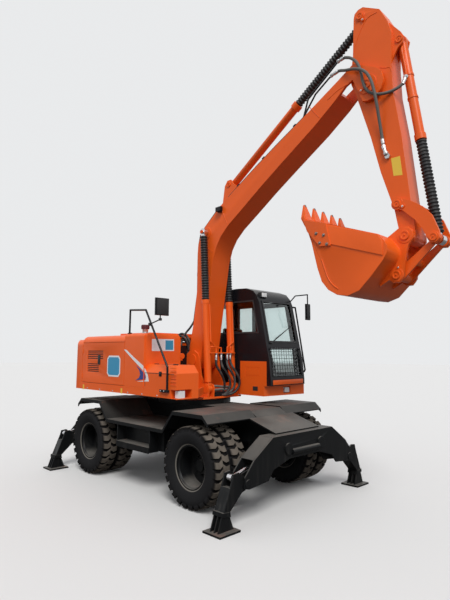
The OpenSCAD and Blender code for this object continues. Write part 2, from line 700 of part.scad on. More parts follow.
module boom() {
  color(orange) difference() {
    union() {
      slab_y(boom_line, -boom_half, boom_half);
      both_sides() {
        // boss plates at the lift cylinder's pin and at the elbow
        pin_y(lift_eye, 95, boom_half - 1, boom_half + 8);
        pin_y(elbow, 120, boom_half - 1, boom_half + 14);
        // clevis of the arm cylinder
        slab_y([[720, 4270], [790, 4700], [850, 4780], [930, 4780], [985, 4700], [1180, 4560], [1180, 4500]],
          66, 94);
      }
    }
    // slot of the fork
    slab_y([[3045, 5310], [2860, 5570], [2700, 5800], [2700, 6000], [3900, 6000], [3900, 4900], [3200, 4900],
      [3080, 5300]], -150, 150);
    pin_y(elbow, 345, -150, 150);
    pin_y(foot, 55.4, -boom_half - 1, boom_half + 1);
  }
  color(orange) pin_y(elbow, 45, -160, 160);
  color(orange) pin_y(crowd_base, 32, -80, 80);
}

module boom_lines() {
  color(black) {
    // two steel pipes along the top and the hose up the back
    tube([[950, -130, 4465], [1536, -130, 4797], [1926, -130, 5007], [2380, -130, 5238], [2440, -160, 5330],
      [2495, -160, 5496], [2960, -160, 5818], [3010, -160, 5836]], 12);
    tube([[950, -165, 4465], [1536, -165, 4797], [1926, -165, 5007], [2412, -165, 5254], [2530, -192, 5362],
      [2640, -192, 5500], [2855, -192, 5636], [2920, -192, 5662]], 12);
    tube([[130, -150, 2500], [220, -150, 3000], [226, -150, 3640], [242, -150, 3810], [290, -150, 3992], [700, -150, 4322]], 16);
    // each row: place of a clamp on the boom's top, slope there
    for (c = [[1180, 4578.8, 29.5], [1700, 4868.3, 28.3], [2280, 5170.7, 27]]) translate([c[0], -182, c[1]]) rotate([0, -c[2], 0])
      translate([-25, 0, 0.3]) cube([50, 70, 34]);
    block([224, -175, 3270], [247.2, -125, 3330]);
    // work lamp on the boom's side
    block([770, -236, 4236], [840, -190.3, 4330]);
    block([748, -262, 4250], [856, -214, 4316]);
  }
}

// pipes from the boom cylinders to the comb plate between them
module boom_pipes() {
  block([600, -lift_y, 1995], [684, lift_y, 2011]);
  // each row: side, and where the pipe from a cylinder's head passes the plate
  for (p = [[-1, -128], [1, 117]]) tube([[560, p[0] * 262, 2796], [622, p[0] * 250, 2776],
    [656, p[0] * 250, 2180], [650, p[1], 2090], [650, p[1], 1950]], 11);
  // each row: side, and where the short pipe passes the plate
  for (p = [[-1, -18], [1, 186]]) tube([[606, p[0] * 240, 2090], [650, p[0] * 205, 2100], [650, p[1], 2080],
    [650, p[1], 1950]], 11);
}

module boom_barrels() {
  l = reach(lift_base, lift_eye);
  color(orange) boom_pipes();
  color(orange) both_sides() {
    difference() {
      union() {
        pin_y(lift_base, 64, lift_y - 36, lift_y + 36);
        along(lift_base, lift_eye, lift_y) {
          translate([-44, -34, 0]) cube([88, 68, 110]);
          translate([0, 0, 100]) cylinder(h = 1292, r = 60);
          translate([0, 0, 1330]) cylinder(h = 66, r = 64);
        }
      }
      pin_y(lift_base, 32.4, lift_y - 40, lift_y + 40);
      along(lift_base, lift_eye, lift_y) translate([0, 0, 700]) cylinder(h = 800, r = 40.4);
    }
  }
}

module boom_rods() {
  l = reach(lift_base, lift_eye);
  color(chrome) both_sides() {
    along(lift_base, lift_eye, lift_y) translate([0, 0, 1250]) cylinder(h = l - 1290, r = 40);
    pin_y(lift_eye, 62, lift_y - 30, lift_y + 30);
    pin_y(lift_eye, 34, boom_half + 13, lift_y + 42);
  }
}

// a rubber sleeve with folds, from height z0 to z1
module sleeve(z0, z1, r, bore) {
  n = round((z1 - z0) / 44);
  step = (z1 - z0) / n;
  rotate_extrude() polygon(concat([[bore, z0]],
    [for (i = [0 : n - 1]) each [[r - 12, z0 + i * step], [r, z0 + (i + 0.5) * step]]],
    [[r - 12, z1], [bore, z1]]));
}

module boom_bellows() {
  l = reach(lift_base, lift_eye);
  color(black) both_sides() along(lift_base, lift_eye, lift_y) sleeve(1396.3, l - 62.3, 61, 40.3);
}

// Arm

arm_line = [[3205, 6330], [3220, 6390], [3270, 6425], [3337, 6429], [3562, 6280], [3660, 6075], [3705, 5900],
  [3700, 5700], [3690, 5487], [3700, 5136], [3780, 4584], [3862, 3741], [3893, 3480], [3905, 3350],
  [3880, 3270], [3810, 3236], [3740, 3260], [3705, 3330], [3712, 3417], [3667, 3672], [3511, 4176],
  [3396, 4652], [3222, 5243], [3150, 5440], [3136, 5530], [3181, 5832]];

module arm() {
  color(orange) difference() {
    union() {
      slab_y(arm_line, -arm_half, arm_half);
      pin_y(elbow, 130, -142, 142);
      // lugs for the bucket cylinder's base
      both_sides() slab_y([[3660, 6070], [3800, 5880], [3840, 5800], [3820, 5730], [3760, 5690], [3680, 5560]],
        62, 88);
      pin_y(bucket_pin, 96, -138, 138);
    }
    // slot for the arm cylinder's eye
    slab_y([[3100, 6140], [3390, 6140], [3420, 6300], [3390, 6500], [3100, 6500]], -66, 66);
    pin_y(elbow, 45.4, -150, 150);
    pin_y(bucket_pin, 40.4, -150, 150);
    pin_y(rocker_pin, 40.4, -150, 150);
  }
  color(orange) both_sides() pin_y(crowd_eye, 62, arm_half - 4, arm_half + 10);
  color(orange) pin_y(curl_base, 30, -74, 74);
}

module arm_barrel() {
  color(orange) difference() {
    union() {
      pin_y(crowd_base, 62, -42, 42);
      along(crowd_base, crowd_eye, 0) {
        translate([0, 0, 20]) cylinder(h = 1576, r = 58);
        translate([0, 0, 1520]) cylinder(h = 80, r = 74);
      }
    }
    pin_y(crowd_base, 32.4, -64, 64);
    along(crowd_base, crowd_eye, 0) translate([0, 0, 730]) cylinder(h = 970, r = 37.4);
  }
}

module arm_rod() {
  l = reach(crowd_base, crowd_eye);
  color(chrome) {
    along(crowd_base, crowd_eye, 0) translate([0, 0, 1450]) cylinder(h = l - 1490, r = 37);
    pin_y(crowd_eye, 60, -50, 50);
    pin_y(crowd_eye, 32, -58, 58);
  }
}

module arm_bellows() {
  l = reach(crowd_base, crowd_eye);
  color(black) along(crowd_base, crowd_eye, 0) sleeve(1600.3, l - 150, 62, 37.3);
}

module bucket_barrel() {
  color(orange) difference() {
    union() {
      pin_y(curl_base, 60, -38, 38);
      along(curl_base, curl_eye, 0) {
        translate([0, 0, 20]) cylinder(h = 1300, r = 55);
        translate([0, 0, 1250]) cylinder(h = 74, r = 66);
        for (z = [460, 760]) translate([0, 0, z]) cylinder(h = 26, r = 62);
      }
    }
    pin_y(curl_base, 30.4, -64, 64);
    along(curl_base, curl_eye, 0) translate([0, 0, 700]) cylinder(h = 700, r = 35.4);
  }
}

module bucket_rod() {
  l = reach(curl_base, curl_eye);
  color(chrome) {
    along(curl_base, curl_eye, 0) translate([0, 0, 1180]) cylinder(h = l - 1220, r = 35);
    pin_y(curl_eye, 62, -50, 50);
    pin_y(curl_eye, 36, -58, 58);
  }
}

module bucket_bellows() {
  l = reach(curl_base, curl_eye);
  color(black) along(curl_base, curl_eye, 0) sleeve(1324.3, l - 70, 62, 35.3);
}

// rocker: two curved plates from the arm to the cylinder's pin
module rocker() {
  color(orange) {
    both_sides() difference() {
      union() {
        slab_y([[3668, 3690], [3660, 3760], [3720, 3800], [3800, 3775], [3900, 3720], [4010, 3640], [4110, 3520],
          [4180, 3330], [4185, 3250], [4140, 3200], [4080, 3205], [4045, 3270], [4000, 3380], [3920, 3500],
          [3780, 3640]], 144, 172);
        pin_y(rocker_pin, 70, 136, 178);
        pin_y(curl_eye, 62, 140, 184);
      }
    }
    pin_y(rocker_pin, 40, -140, 140);
  }
}

// push link: two plates from the cylinder's pin to the bucket, joined by a tube
module push_link() {
  color(orange) difference() {
    union() {
      both_sides() {
        slab_y([[4060, 3250], [4085, 3325], [4150, 3325], [4175, 3265], [3745, 2850], [3690, 2832], [3635, 2860],
          [3635, 2930]], 96, 124);
        pin_y(curl_eye, 66, 92, 128);
      }
      pin_y([3850, 3040], 40, -96, 96);
      pin_y(push_pin, 66, -128, 128);
    }
    pin_y(push_pin, 38.4, -150, 150);
  }
}

// bucket section: outside, then inside
bucket_line = [[2622, 3716], [2640, 3680], [2750, 3376], [2830, 3046], [2890, 2870], [2980, 2760], [3100, 2690],
  [3240, 2668], [3388, 2716], [3534, 2858], [3690, 3030], [3738, 3110], [3742, 3180], [3700, 3250], [3640, 3328],
  [2650, 3700]];
bucket_room = [[2656, 3700], [2776, 3384], [2856, 3056], [2914, 2884], [2998, 2782], [3108, 2716], [3236, 2694],
  [3374, 2738], [3516, 2876], [3668, 3046], [3712, 3118], [3714, 3170], [3678, 3234], [3600, 3340], [2700, 3800]];

module bucket() {
  color(orange) {
    difference() {
      slab_y(bucket_line, -bucket_half, bucket_half);
      slab_y(bucket_room, -bucket_half + 25, bucket_half - 25);
    }
    // cutting edge
    slab_y([[2606, 3728], [2642, 3742], [2720, 3540], [2690, 3526]], -bucket_half, bucket_half);
    // teeth, narrower towards the tip
    for (y = [-bucket_half + 78 : (bucket_half - 78) / 2 : bucket_half - 78]) intersection() {
      slab_y([[2590, 3712], [2592, 3900], [2608, 3902], [2660, 3730], [2700, 3620], [2650, 3600]],
        y - 72, y + 72);
      slab_x([[y - 72, 3590], [y + 72, 3590], [y + 72, 3715], [y + 22, 3910], [y - 22, 3910], [y - 72, 3715]],
        2580, 2710);
    }
    both_sides() {
      // side cutters and the strip along the mouth
      slab_y([[2640, 3682], [2976, 3575], [3036, 3290], [2878, 3304], [2700, 3520]], bucket_half - 2, bucket_half + 22);
      slab_y([[2770, 3400], [3690, 3080], [3690, 3240], [3640, 3322], [2760, 3634]], bucket_half - 2,
        bucket_half + 10);
      // ears
      difference() {
        union() {
          slab_y([[3560, 3330], [3740, 3440], [3830, 3445], [3900, 3380], [3900, 3300], [3840, 3230], [3800, 3100],
            [3775, 2880], [3720, 2810], [3650, 2810], [3600, 2850], [3480, 2780]], 144, 184);
          pin_y(bucket_pin, 90, 142, 190);
          pin_y(push_pin, 78, 140, 190);
        }
        slab_y(bucket_room, 100, 200);
      }
    }
    pin_y(bucket_pin, 40, -150, 150);
    pin_y(push_pin, 38, -150, 150);
  }
}

module left_wheel_side() { children(); }
module right_wheel_side() { mirror([0, 1, 0]) children(); }

chassis_frame();
fenders();
axles();
side_steps();
outrigger_beam();  // outrigger_beam_front
translate([130, 0, 0]) mirror([1, 0, 0]) outrigger_beam();  // outrigger_beam_rear
knuckle();  // knuckle_left
right_wheel_side() knuckle();  // knuckle_right
tyre_pair(half_base);  // tyres_front_left
rim_pair(half_base);  // rims_front_left
right_wheel_side() tyre_pair(half_base);  // tyres_front_right
right_wheel_side() rim_pair(half_base);  // rims_front_right
tyre_pair(-half_base);  // tyres_rear_left
rim_pair(-half_base);  // rims_rear_left
right_wheel_side() tyre_pair(-half_base);  // tyres_rear_right
right_wheel_side() rim_pair(-half_base);  // rims_rear_right
leg(true);  // leg_front_left
right_wheel_side() leg(true);  // leg_front_right
leg(false);  // leg_rear_left
right_wheel_side() leg(false);  // leg_rear_right
leg_barrel(true);  // leg_barrel_front_left
right_wheel_side() leg_barrel(true);  // leg_barrel_front_right
leg_barrel(false);  // leg_barrel_rear_left
right_wheel_side() leg_barrel(false);  // leg_barrel_rear_right
leg_rod(true);  // leg_rod_front_left
right_wheel_side() leg_rod(true);  // leg_rod_front_right
leg_rod(false);  // leg_rod_rear_left
right_wheel_side() leg_rod(false);  // leg_rod_rear_right
upper_frame();
counterweight();
engine_hood();
engine_block();
side_door(-1);  // side_door_right
side_door(1);  // side_door_left
body_panels();
fuel_tank();
tool_box();
cab_shell();
cab_glass();
cab_door();
cab_door_glass();
cab_interior();
handrails();
mirrors();
lamps();
boom();
boom_lines();
boom_barrels();
boom_rods();
boom_bellows();
arm();
arm_barrel();
arm_rod();
arm_bellows();
bucket_barrel();
bucket_rod();
bucket_bellows();
rocker();
push_link();
bucket();
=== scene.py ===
import json
import math

import bpy
from mathutils import Matrix, Vector


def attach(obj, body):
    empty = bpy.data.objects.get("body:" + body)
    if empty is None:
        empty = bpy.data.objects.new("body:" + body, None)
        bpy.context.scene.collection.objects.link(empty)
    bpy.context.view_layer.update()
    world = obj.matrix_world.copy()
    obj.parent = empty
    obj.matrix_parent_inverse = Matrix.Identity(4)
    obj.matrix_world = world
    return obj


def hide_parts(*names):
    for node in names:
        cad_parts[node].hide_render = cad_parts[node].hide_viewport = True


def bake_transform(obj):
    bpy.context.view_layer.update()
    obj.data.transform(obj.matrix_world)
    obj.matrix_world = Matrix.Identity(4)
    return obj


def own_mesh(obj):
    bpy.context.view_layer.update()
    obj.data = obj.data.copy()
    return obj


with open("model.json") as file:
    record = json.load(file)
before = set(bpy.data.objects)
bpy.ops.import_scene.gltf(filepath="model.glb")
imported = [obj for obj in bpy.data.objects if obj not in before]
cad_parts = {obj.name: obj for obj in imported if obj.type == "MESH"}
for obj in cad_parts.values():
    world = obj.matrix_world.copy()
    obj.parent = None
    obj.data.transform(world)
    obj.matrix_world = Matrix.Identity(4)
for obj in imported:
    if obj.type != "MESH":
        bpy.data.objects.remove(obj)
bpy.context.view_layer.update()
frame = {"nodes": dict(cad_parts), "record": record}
nodes = frame["nodes"]

# Material tools
class Wire:
    """A value in a material. Arithmetic on wires adds Math nodes."""

    def __init__(self, tree, socket):
        self.tree = tree
        self.socket = socket

    def node(self, kind, settings, inputs, output=0):
        """Adds a node: its settings first, then the values or wires of its sockets."""
        node = self.tree.nodes.new(kind)
        for name, value in settings.items():
            setattr(node, name, value)
        for name, value in inputs.items():
            if isinstance(value, Wire):
                self.tree.links.new(value.socket, node.inputs[name])
            else:
                node.inputs[name].default_value = value
        return Wire(self.tree, node.outputs[output])

    def sum_node(self, operation, first, second=0.0):
        """A Math node on two wires or numbers."""
        return self.node("ShaderNodeMath", {"operation": operation}, {0: first, 1: second})

    def __add__(self, other):
        return self.sum_node("ADD", self, other)

    def __radd__(self, other):
        return self.sum_node("ADD", other, self)

    def __sub__(self, other):
        return self.sum_node("SUBTRACT", self, other)

    def __rsub__(self, other):
        return self.sum_node("SUBTRACT", other, self)

    def __mul__(self, other):
        return self.sum_node("MULTIPLY", self, other)

    def alone(self, operation):
        """A Math node with this value as its one input."""
        return self.sum_node(operation, self)

    def rise(self, low, high):
        """0 below low, 1 above high, smooth between them."""
        return self.node("ShaderNodeMapRange", {"interpolation_type": "SMOOTHSTEP"},
                         {"Value": self, "From Min": low, "From Max": high})

    def noise(self, scale, detail, stretch=(1, 1, 1), rough=0.55):
        """Cloudy noise on a vector wire, from 0 to 1, around 0.5."""
        spread = self.node("ShaderNodeMapping", {}, {"Vector": self, "Scale": stretch})
        return self.node("ShaderNodeTexNoise", {}, {"Vector": spread, "Scale": scale, "Detail": detail,
                                                     "Roughness": rough})

    def wave(self, direction, scale, distortion=0.0):
        """Even stripes on a vector wire."""
        return self.node("ShaderNodeTexWave", {"bands_direction": direction},
                         {"Vector": self, "Scale": scale, "Distortion": distortion})

    def mix(self, base, top, mask):
        """One colour with another laid over it where the mask is 1."""
        return self.node("ShaderNodeMix", {"data_type": "RGBA"}, {"Factor": mask, "A": base, "B": top}, 2)

    def part(self, axis):
        """One of the three numbers of a vector wire."""
        return self.node("ShaderNodeSeparateXYZ", {}, {"Vector": self}, "XYZ".index(axis))


def start_material(name):
    """A new material, and the place on the piece as a wire in it."""
    material = bpy.data.materials.new(name)
    material.use_nodes = True
    tree = material.node_tree
    return material, Wire(tree, tree.nodes.new("ShaderNodeTexCoord").outputs["Object"])


def feed(material, values):
    """Puts wires or plain values on the sockets of the material's shader."""
    shader = material.node_tree.nodes["Principled BSDF"]
    for socket, value in values.items():
        if isinstance(value, Wire):
            value.tree.links.new(value.socket, shader.inputs[socket])
        else:
            shader.inputs[socket].default_value = value


def plain_material(name, values):
    """A material that is the same all over."""
    material = start_material(name)[0]
    feed(material, values)
    return material


def bumped(place, height, strength, distance):
    """A surface normal that follows a height in the material."""
    return place.node("ShaderNodeBump", {}, {"Height": height, "Strength": strength, "Distance": distance})


# Camera
# It stands low and close off the front right corner, a little below the height of the cab,
# and looks slightly upward, so that the boom towers over the machine.
camera_place = Vector((6.123, -5.335, 2.004))
look_turn = math.radians(135.4)
look_rise = math.radians(6.36)
look_roll = math.radians(0.27)
look = Vector((math.cos(look_rise) * math.cos(look_turn), math.cos(look_rise) * math.sin(look_turn),
               math.sin(look_rise)))
bpy.ops.object.camera_add(location=camera_place, rotation=look.to_track_quat("-Z", "Y").to_euler())
camera = bpy.context.object
camera.rotation_euler.rotate_axis("Z", look_roll)
camera.data.sensor_fit = "VERTICAL"
camera.data.sensor_height = 36
camera.data.lens = 28.45
bpy.context.scene.camera = camera

# Floor, light and background
# A wide pale floor under plain daylight: a soft sun from the front right, and an even pale sky.
bpy.ops.mesh.primitive_circle_add(vertices=96, radius=90, fill_type="NGON", location=(0, 0, 0))
floor = bpy.context.object
floor.name = "floor"
# it is pale where the camera sees it, and throws back less light than that onto the machine
floor_paint, floor_place = start_material("floor_paint")
floor_seen = floor_place.node("ShaderNodeLightPath", {}, {}, "Is Camera Ray")
feed(floor_paint, {"Base Color": floor_place.mix((0.11, 0.105, 0.10, 1), (0.72, 0.71, 0.69, 1), floor_seen),
                   "Roughness": 0.9})
floor.data.materials.append(floor_paint)

sun_from = Vector((0.66, -0.52, 0.9))
bpy.ops.object.light_add(type="SUN", rotation=sun_from.to_track_quat("Z", "Y").to_euler())
sun = bpy.context.object
sun.data.energy = 2.15
sun.data.angle = math.radians(24)

world = bpy.data.worlds.new("daylight")
bpy.context.scene.world = world
world.use_nodes = True
sky_nodes = world.node_tree.nodes
sky = sky_nodes["Background"]
sky.inputs["Color"].default_value = (0.93, 0.95, 1, 1)
sky.inputs["Strength"].default_value = 0.66
backdrop = sky_nodes.new("ShaderNodeBackground")
backdrop.inputs["Color"].default_value = (0.86, 0.87, 0.88, 1)
backdrop.inputs["Strength"].default_value = 0.95
# the camera, mirrors and glass see the backdrop, and all else is lit by the sky
rays = sky_nodes.new("ShaderNodeLightPath")
seen = Wire(world.node_tree, rays.outputs["Is Camera Ray"])
for kind in ("Is Glossy Ray", "Is Transmission Ray"):
    seen = seen.sum_node("MAXIMUM", seen, Wire(world.node_tree, rays.outputs[kind]))
choice = seen.node("ShaderNodeMixShader", {}, {0: seen, 1: Wire(world.node_tree, sky.outputs[0]),
                                               2: Wire(world.node_tree, backdrop.outputs[0])})
world.node_tree.links.new(choice.socket, sky_nodes["World Output"].inputs["Surface"])
bpy.context.scene.view_settings.view_transform = "Standard"

# Paint
# Sprayed steel, with fine dust from the yard on all that faces up, thicker towards the ground.
road_dust = (0.33, 0.305, 0.27, 1)


def painted_steel(name, colour, gloss, dust, tone=0.06, shine=0.4, rust=0.0, burnt=None):
    """Sprayed steel: cloudy tone, dust on top and low down, and rust on top or bare from a height on."""
    material, place = start_material(name)
    facing = place.node("ShaderNodeNewGeometry", {}, {}, "Normal")
    cloud = place.noise(1.7, 5)
    fine = place.noise(46, 3)
    streak = place.noise(5, 6, stretch=(3.5, 3.5, 0.35))
    darker = tuple(part * (1 - 2.6 * tone) for part in colour[:3]) + (1,)
    skin = place.mix(colour, darker, cloud.rise(0.42, 0.72) * 0.75)
    low = 1 - place.part("Z").rise(0.1, 1.0)
    flat = facing.part("Z").rise(0.5, 0.95)
    settled = flat * (0.55 + cloud.rise(0.3, 0.7) * 0.4) + low * streak.rise(0.45, 0.8) * 0.16
    veil = (settled + fine.rise(0.66, 0.84) * 0.1 + streak.rise(0.6, 0.85) * 0.06) * dust
    if rust:
        bare = place.noise(2.6, 7, rough=0.7).rise(0.55, 0.63) * facing.part("Z").rise(0.25, 0.6) * rust
        skin = place.mix(skin, (0.105, 0.038, 0.024, 1), bare)
    skin = place.mix(skin, road_dust, veil)
    if burnt:
        skin = place.mix(skin, (0.045, 0.032, 0.026, 1), place.part("Z").rise(burnt, burnt + 0.008))
    feed(material, {"Base Color": skin, "Roughness": gloss + cloud * 0.1 + veil * 0.45,
                    "Specular IOR Level": shine,
                    "Normal": bumped(place, place.noise(230, 2) + veil * 0.5, 0.08, 0.002)})
    return material


def finish_nodes(names, material):
    """Paints nodes that stay as they are in the frame."""
    for name in names:
        for place in nodes[name].material_slots:
            place.material = material


def begin_on(piece):
    """Selects this piece alone."""
    bpy.ops.object.select_all(action="DESELECT")
    piece.select_set(True)
    bpy.context.view_layer.objects.active = piece


def round_edges(piece, width, segments, **options):
    """Rounds the piece's edges and applies it."""
    rounding = piece.modifiers.new("edge", "BEVEL")
    rounding.width = width
    rounding.segments = segments
    for name, value in options.items():
        setattr(rounding, name, value)
    bpy.ops.object.modifier_apply(modifier="edge")


body_nodes = frame["record"]["behaviour"]["bodies"]
bodies_of = {node: body for body, members in body_nodes.items() for node in members}
same_face = math.radians(0.4)
sharp_edge = math.radians(38)


def softened(names, material, edge):
    """Plates and pressings made whole from the solids, with their edges rounded by this much."""
    for name in names:
        piece = nodes[name].copy()
        piece.data = nodes[name].data.copy()
        piece.name = name + "_finished"
        bpy.context.collection.objects.link(piece)
        begin_on(piece)
        bpy.ops.object.mode_set(mode="EDIT")
        bpy.ops.mesh.select_all(action="SELECT")
        bpy.ops.mesh.remove_doubles(threshold=0.00002)
        bpy.ops.mesh.dissolve_limited(angle_limit=same_face)
        bpy.ops.object.mode_set(mode="OBJECT")
        bpy.ops.object.shade_smooth_by_angle(angle=sharp_edge)
        round_edges(piece, edge, 2, limit_method="ANGLE", angle_limit=sharp_edge, use_clamp_overlap=False,
                    harden_normals=True)
        piece.data.materials.clear()
        piece.data.materials.append(material)
        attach(piece, bodies_of[name])
        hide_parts(name)


# Chassis and outriggers
# The frame, fenders, crossbeams, axles and outrigger legs are mild steel sprayed satin black.
soft_edge = 0.002
black_paint = painted_steel("black_paint", (0.0075, 0.008, 0.0085, 1), 0.3, 0.44, shine=0.16, rust=0.75)
black_nodes = ["chassis_frame", "fenders", "side_steps", "axles", "outrigger_beam_front",
               "outrigger_beam_rear", "knuckle_left", "knuckle_right"]
black_nodes += [name for name in nodes if name.startswith(("leg_barrel", "rims"))]
black_nodes += [name for name in nodes
                if name.startswith("leg_") and not name.startswith(("leg_barrel", "leg_rod"))]
softened(black_nodes, black_paint, soft_edge)

# Cab and rails
# Pressed steel and bent tube in a glossier black, washed more often than the chassis.
cab_paint = painted_steel("cab_paint", (0.009, 0.009, 0.011, 1), 0.2, 0.16, shine=0.24)
finish_nodes(["handrails", "mirrors", "boom_lines", "body_panels"], cab_paint)
softened(["cab_shell", "cab_door"], cab_paint, 0.0025)

# Orange bodywork
# Upper frame, tank, tool box, doors, hood, counterweight, boom, arm and bucket wear a fresh coat of orange.
orange = (0.86, 0.12, 0.011, 1)
orange_paint = painted_steel("orange_paint", orange, 0.3, 0.1, tone=0.03, shine=0.3)
finish_nodes(["upper_frame", "tool_box"], orange_paint)
orange_nodes = ["counterweight", "side_door_right", "side_door_left", "fuel_tank", "boom", "boom_barrels",
                "arm", "arm_barrel", "bucket_barrel", "rocker", "push_link", "bucket"]
softened(orange_nodes, orange_paint, soft_edge)
# the exhaust stands on the hood as bare steel
exhaust_foot = 2.335
hood_paint = painted_steel("hood_paint", orange, 0.3, 0.1, tone=0.03, shine=0.3, burnt=exhaust_foot)
softened(["engine_hood"], hood_paint, soft_edge)

# Chromed rods
# Ground and hard-chromed bars with a thin film of oil.
chrome, chrome_place = start_material("chrome")
oil = chrome_place.noise(9, 5, stretch=(1, 1, 0.3))
oily = chrome_place.mix((0.72, 0.72, 0.74, 1), (0.35, 0.32, 0.28, 1), oil.rise(0.55, 0.8) * 0.4)
feed(chrome, {"Base Color": oily, "Metallic": 1.0, "Roughness": 0.12 + oil * 0.2})
finish_nodes([name for name in nodes if "rod" in name], chrome)

# Windows
# Flat and bent safety glass, lightly tinted.
glass = plain_material("glass", {"Base Color": (0.80, 0.88, 0.87, 1), "Roughness": 0.02,
                                 "Transmission Weight": 1, "IOR": 1.45})
finish_nodes(["cab_glass", "cab_door_glass"], glass)

# Headlamps
# Clear ribbed lenses.
lens, lens_place = start_material("lamp_lens")
feed(lens, {"Base Color": (0.82, 0.83, 0.82, 1), "Roughness": 0.12,
            "Normal": bumped(lens_place, lens_place.wave("Y", 32.0), 0.5, 0.004)})
finish_nodes(["lamps"], lens)

# Engine and cab fittings
# Cast iron under the hood, grained plastic in the cab.
iron = painted_steel("engine_iron", (0.12, 0.12, 0.12, 1), 0.55, 0.4)
finish_nodes(["engine_block"], iron)
plastic, plastic_place = start_material("black_plastic")
grain = plastic_place.noise(420, 2)
feed(plastic, {"Base Color": (0.022, 0.022, 0.023, 1), "Roughness": 0.5 + grain * 0.2,
               "Normal": bumped(plastic_place, grain, 0.3, 0.001)})

# Tyres
# Twin tyres on each hub. The casing is turned from its half section, and the tread is two rows of block
# lugs, set like arrowheads and half a step apart, whose ends run down over the shoulder.
tyre_outside = 0.526
casing_outside = 0.499
bead = 0.285
tyre_half = 0.1375
tread_lugs = 26
axle_height = 0.526
axle_place = 1.3
outer_tyre = 1.102
inner_tyre = 0.785
rubber, rubber_place = start_material("tyre_rubber")
worn = rubber_place.noise(5, 6)
grit = rubber_place.noise(60, 4)
ahead = rubber_place.part("X").alone("ABSOLUTE") - axle_place
above = rubber_place.part("Z") - axle_height
reach = (ahead * ahead + above * above).alone("SQRT")
crown = reach.rise(0.504, 0.520)
wall = 1 - reach.rise(0.468, 0.49)
dusty_crown = crown * (0.45 + worn.rise(0.3, 0.7) * 0.4 + grit * 0.2)
tyre_skin = rubber_place.mix((0.012, 0.011, 0.011, 1), (0.019, 0.019, 0.02, 1), wall * (0.45 + worn * 0.5))
tyre_skin = rubber_place.mix(tyre_skin, (0.17, 0.145, 0.118, 1), dusty_crown)
tyre_skin = rubber_place.mix(tyre_skin, (0.22, 0.20, 0.17, 1), (1 - reach.rise(0.292, 0.302)) * 0.7)
feed(rubber, {"Base Color": tyre_skin, "Roughness": 0.82, "Specular IOR Level": 0.08,
              "Normal": bumped(rubber_place, grit, 0.25, 0.003)})


def begin_line(points):
    """Leaves a new object in edit mode whose mesh is one chain of edges through the points."""
    points = [Vector(point) for point in points]
    bpy.ops.object.select_all(action="DESELECT")
    bpy.ops.mesh.primitive_plane_add(size=0.1, location=(0, 0, 0))
    bpy.ops.object.mode_set(mode="EDIT")
    bpy.ops.mesh.merge(type="CENTER")
    bpy.ops.transform.translate(value=points[0])
    for here, there in zip(points, points[1:]):
        bpy.ops.mesh.extrude_vertices_move(TRANSFORM_OT_translate={"value": there - here})
    return bpy.context.object


def begin_face(points):
    """Leaves a new object in edit mode whose mesh is one face with this outline."""
    piece = begin_line(points)
    bpy.ops.mesh.select_all(action="SELECT")
    bpy.ops.mesh.edge_face_add()
    return piece


def face_outwards():
    """Turns all faces of the mesh in edit mode outwards, and leaves edit mode."""
    bpy.ops.mesh.select_all(action="SELECT")
    bpy.ops.mesh.normals_make_consistent(inside=False)
    bpy.ops.object.mode_set(mode="OBJECT")


def turned(points, centre, axis, steps):
    """A solid of revolution from its half section."""
    piece = begin_line(points)
    bpy.ops.mesh.select_all(action="SELECT")
    bpy.ops.mesh.spin(steps=steps, angle=math.tau, center=centre, axis=axis)
    bpy.ops.mesh.select_all(action="SELECT")
    bpy.ops.mesh.remove_doubles(threshold=0.00005)
    face_outwards()
    return piece


def lathe(points, steps, wide=1.0, tall=1.0):
    """A solid turned about Z on the origin, from radii and heights in these units."""
    points = [(wide * radius, 0, tall * height) for radius, height in points]
    return turned(points, (0, 0, 0), (0, 0, 1), steps)


def settle(pieces, name, body, material, smooth=40):
    """Joins the pieces, puts their place in the mesh, and hands them to a body of the machine."""
    bpy.ops.object.select_all(action="DESELECT")
    for piece in pieces:
        piece.select_set(True)
    bpy.context.view_layer.objects.active = pieces[0]
    if len(pieces) > 1:
        bpy.ops.object.join()
    bpy.ops.object.transform_apply(location=True, rotation=True, scale=True)
    piece = bpy.context.object
    piece.name = name
    piece.data.materials.clear()
    piece.data.materials.append(material)
    if smooth:
        bpy.ops.object.shade_smooth_by_angle(angle=math.radians(smooth))
    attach(piece, body)
    return piece


def copy_of(piece, move):
    """A copy with its own mesh, placed by a matrix."""
    twin = piece.copy()
    twin.data = piece.data.copy()
    twin.matrix_world = move @ piece.matrix_world
    bpy.context.collection.objects.link(twin)
    return twin


def tread_lug(side):
    """One lug on top of a tyre that stands at the origin; side 1 is its left row, -1 its right one.

    It starts as a flat plan one unit thick, which is then bent onto the casing.
    """
    plan = [(-0.048, 0.002), (0.034, 0.002), (0.066, 0.055), (0.060, 0.104), (0.052, 0.133), (-0.030, 0.133),
            (-0.018, 0.104), (-0.010, 0.055)]
    lug = begin_face([(along, side * across, 0) for along, across in plan])
    bpy.ops.mesh.extrude_region_move(TRANSFORM_OT_translate={"value": (0, 0, 1)})
    bpy.ops.mesh.inset(thickness=0.0025)
    face_outwards()
    for corner in lug.data.vertices:
        out = side * corner.co.y
        high = tyre_outside - 0.0015 if corner.co.z > 0.5 else casing_outside - 0.008
        high -= max(0, out - 0.095) * (0.45 if corner.co.z > 0.5 else 0.9)
        turn = corner.co.x / tyre_outside
        corner.co = (high * math.sin(turn), corner.co.y, high * math.cos(turn))
    return lug


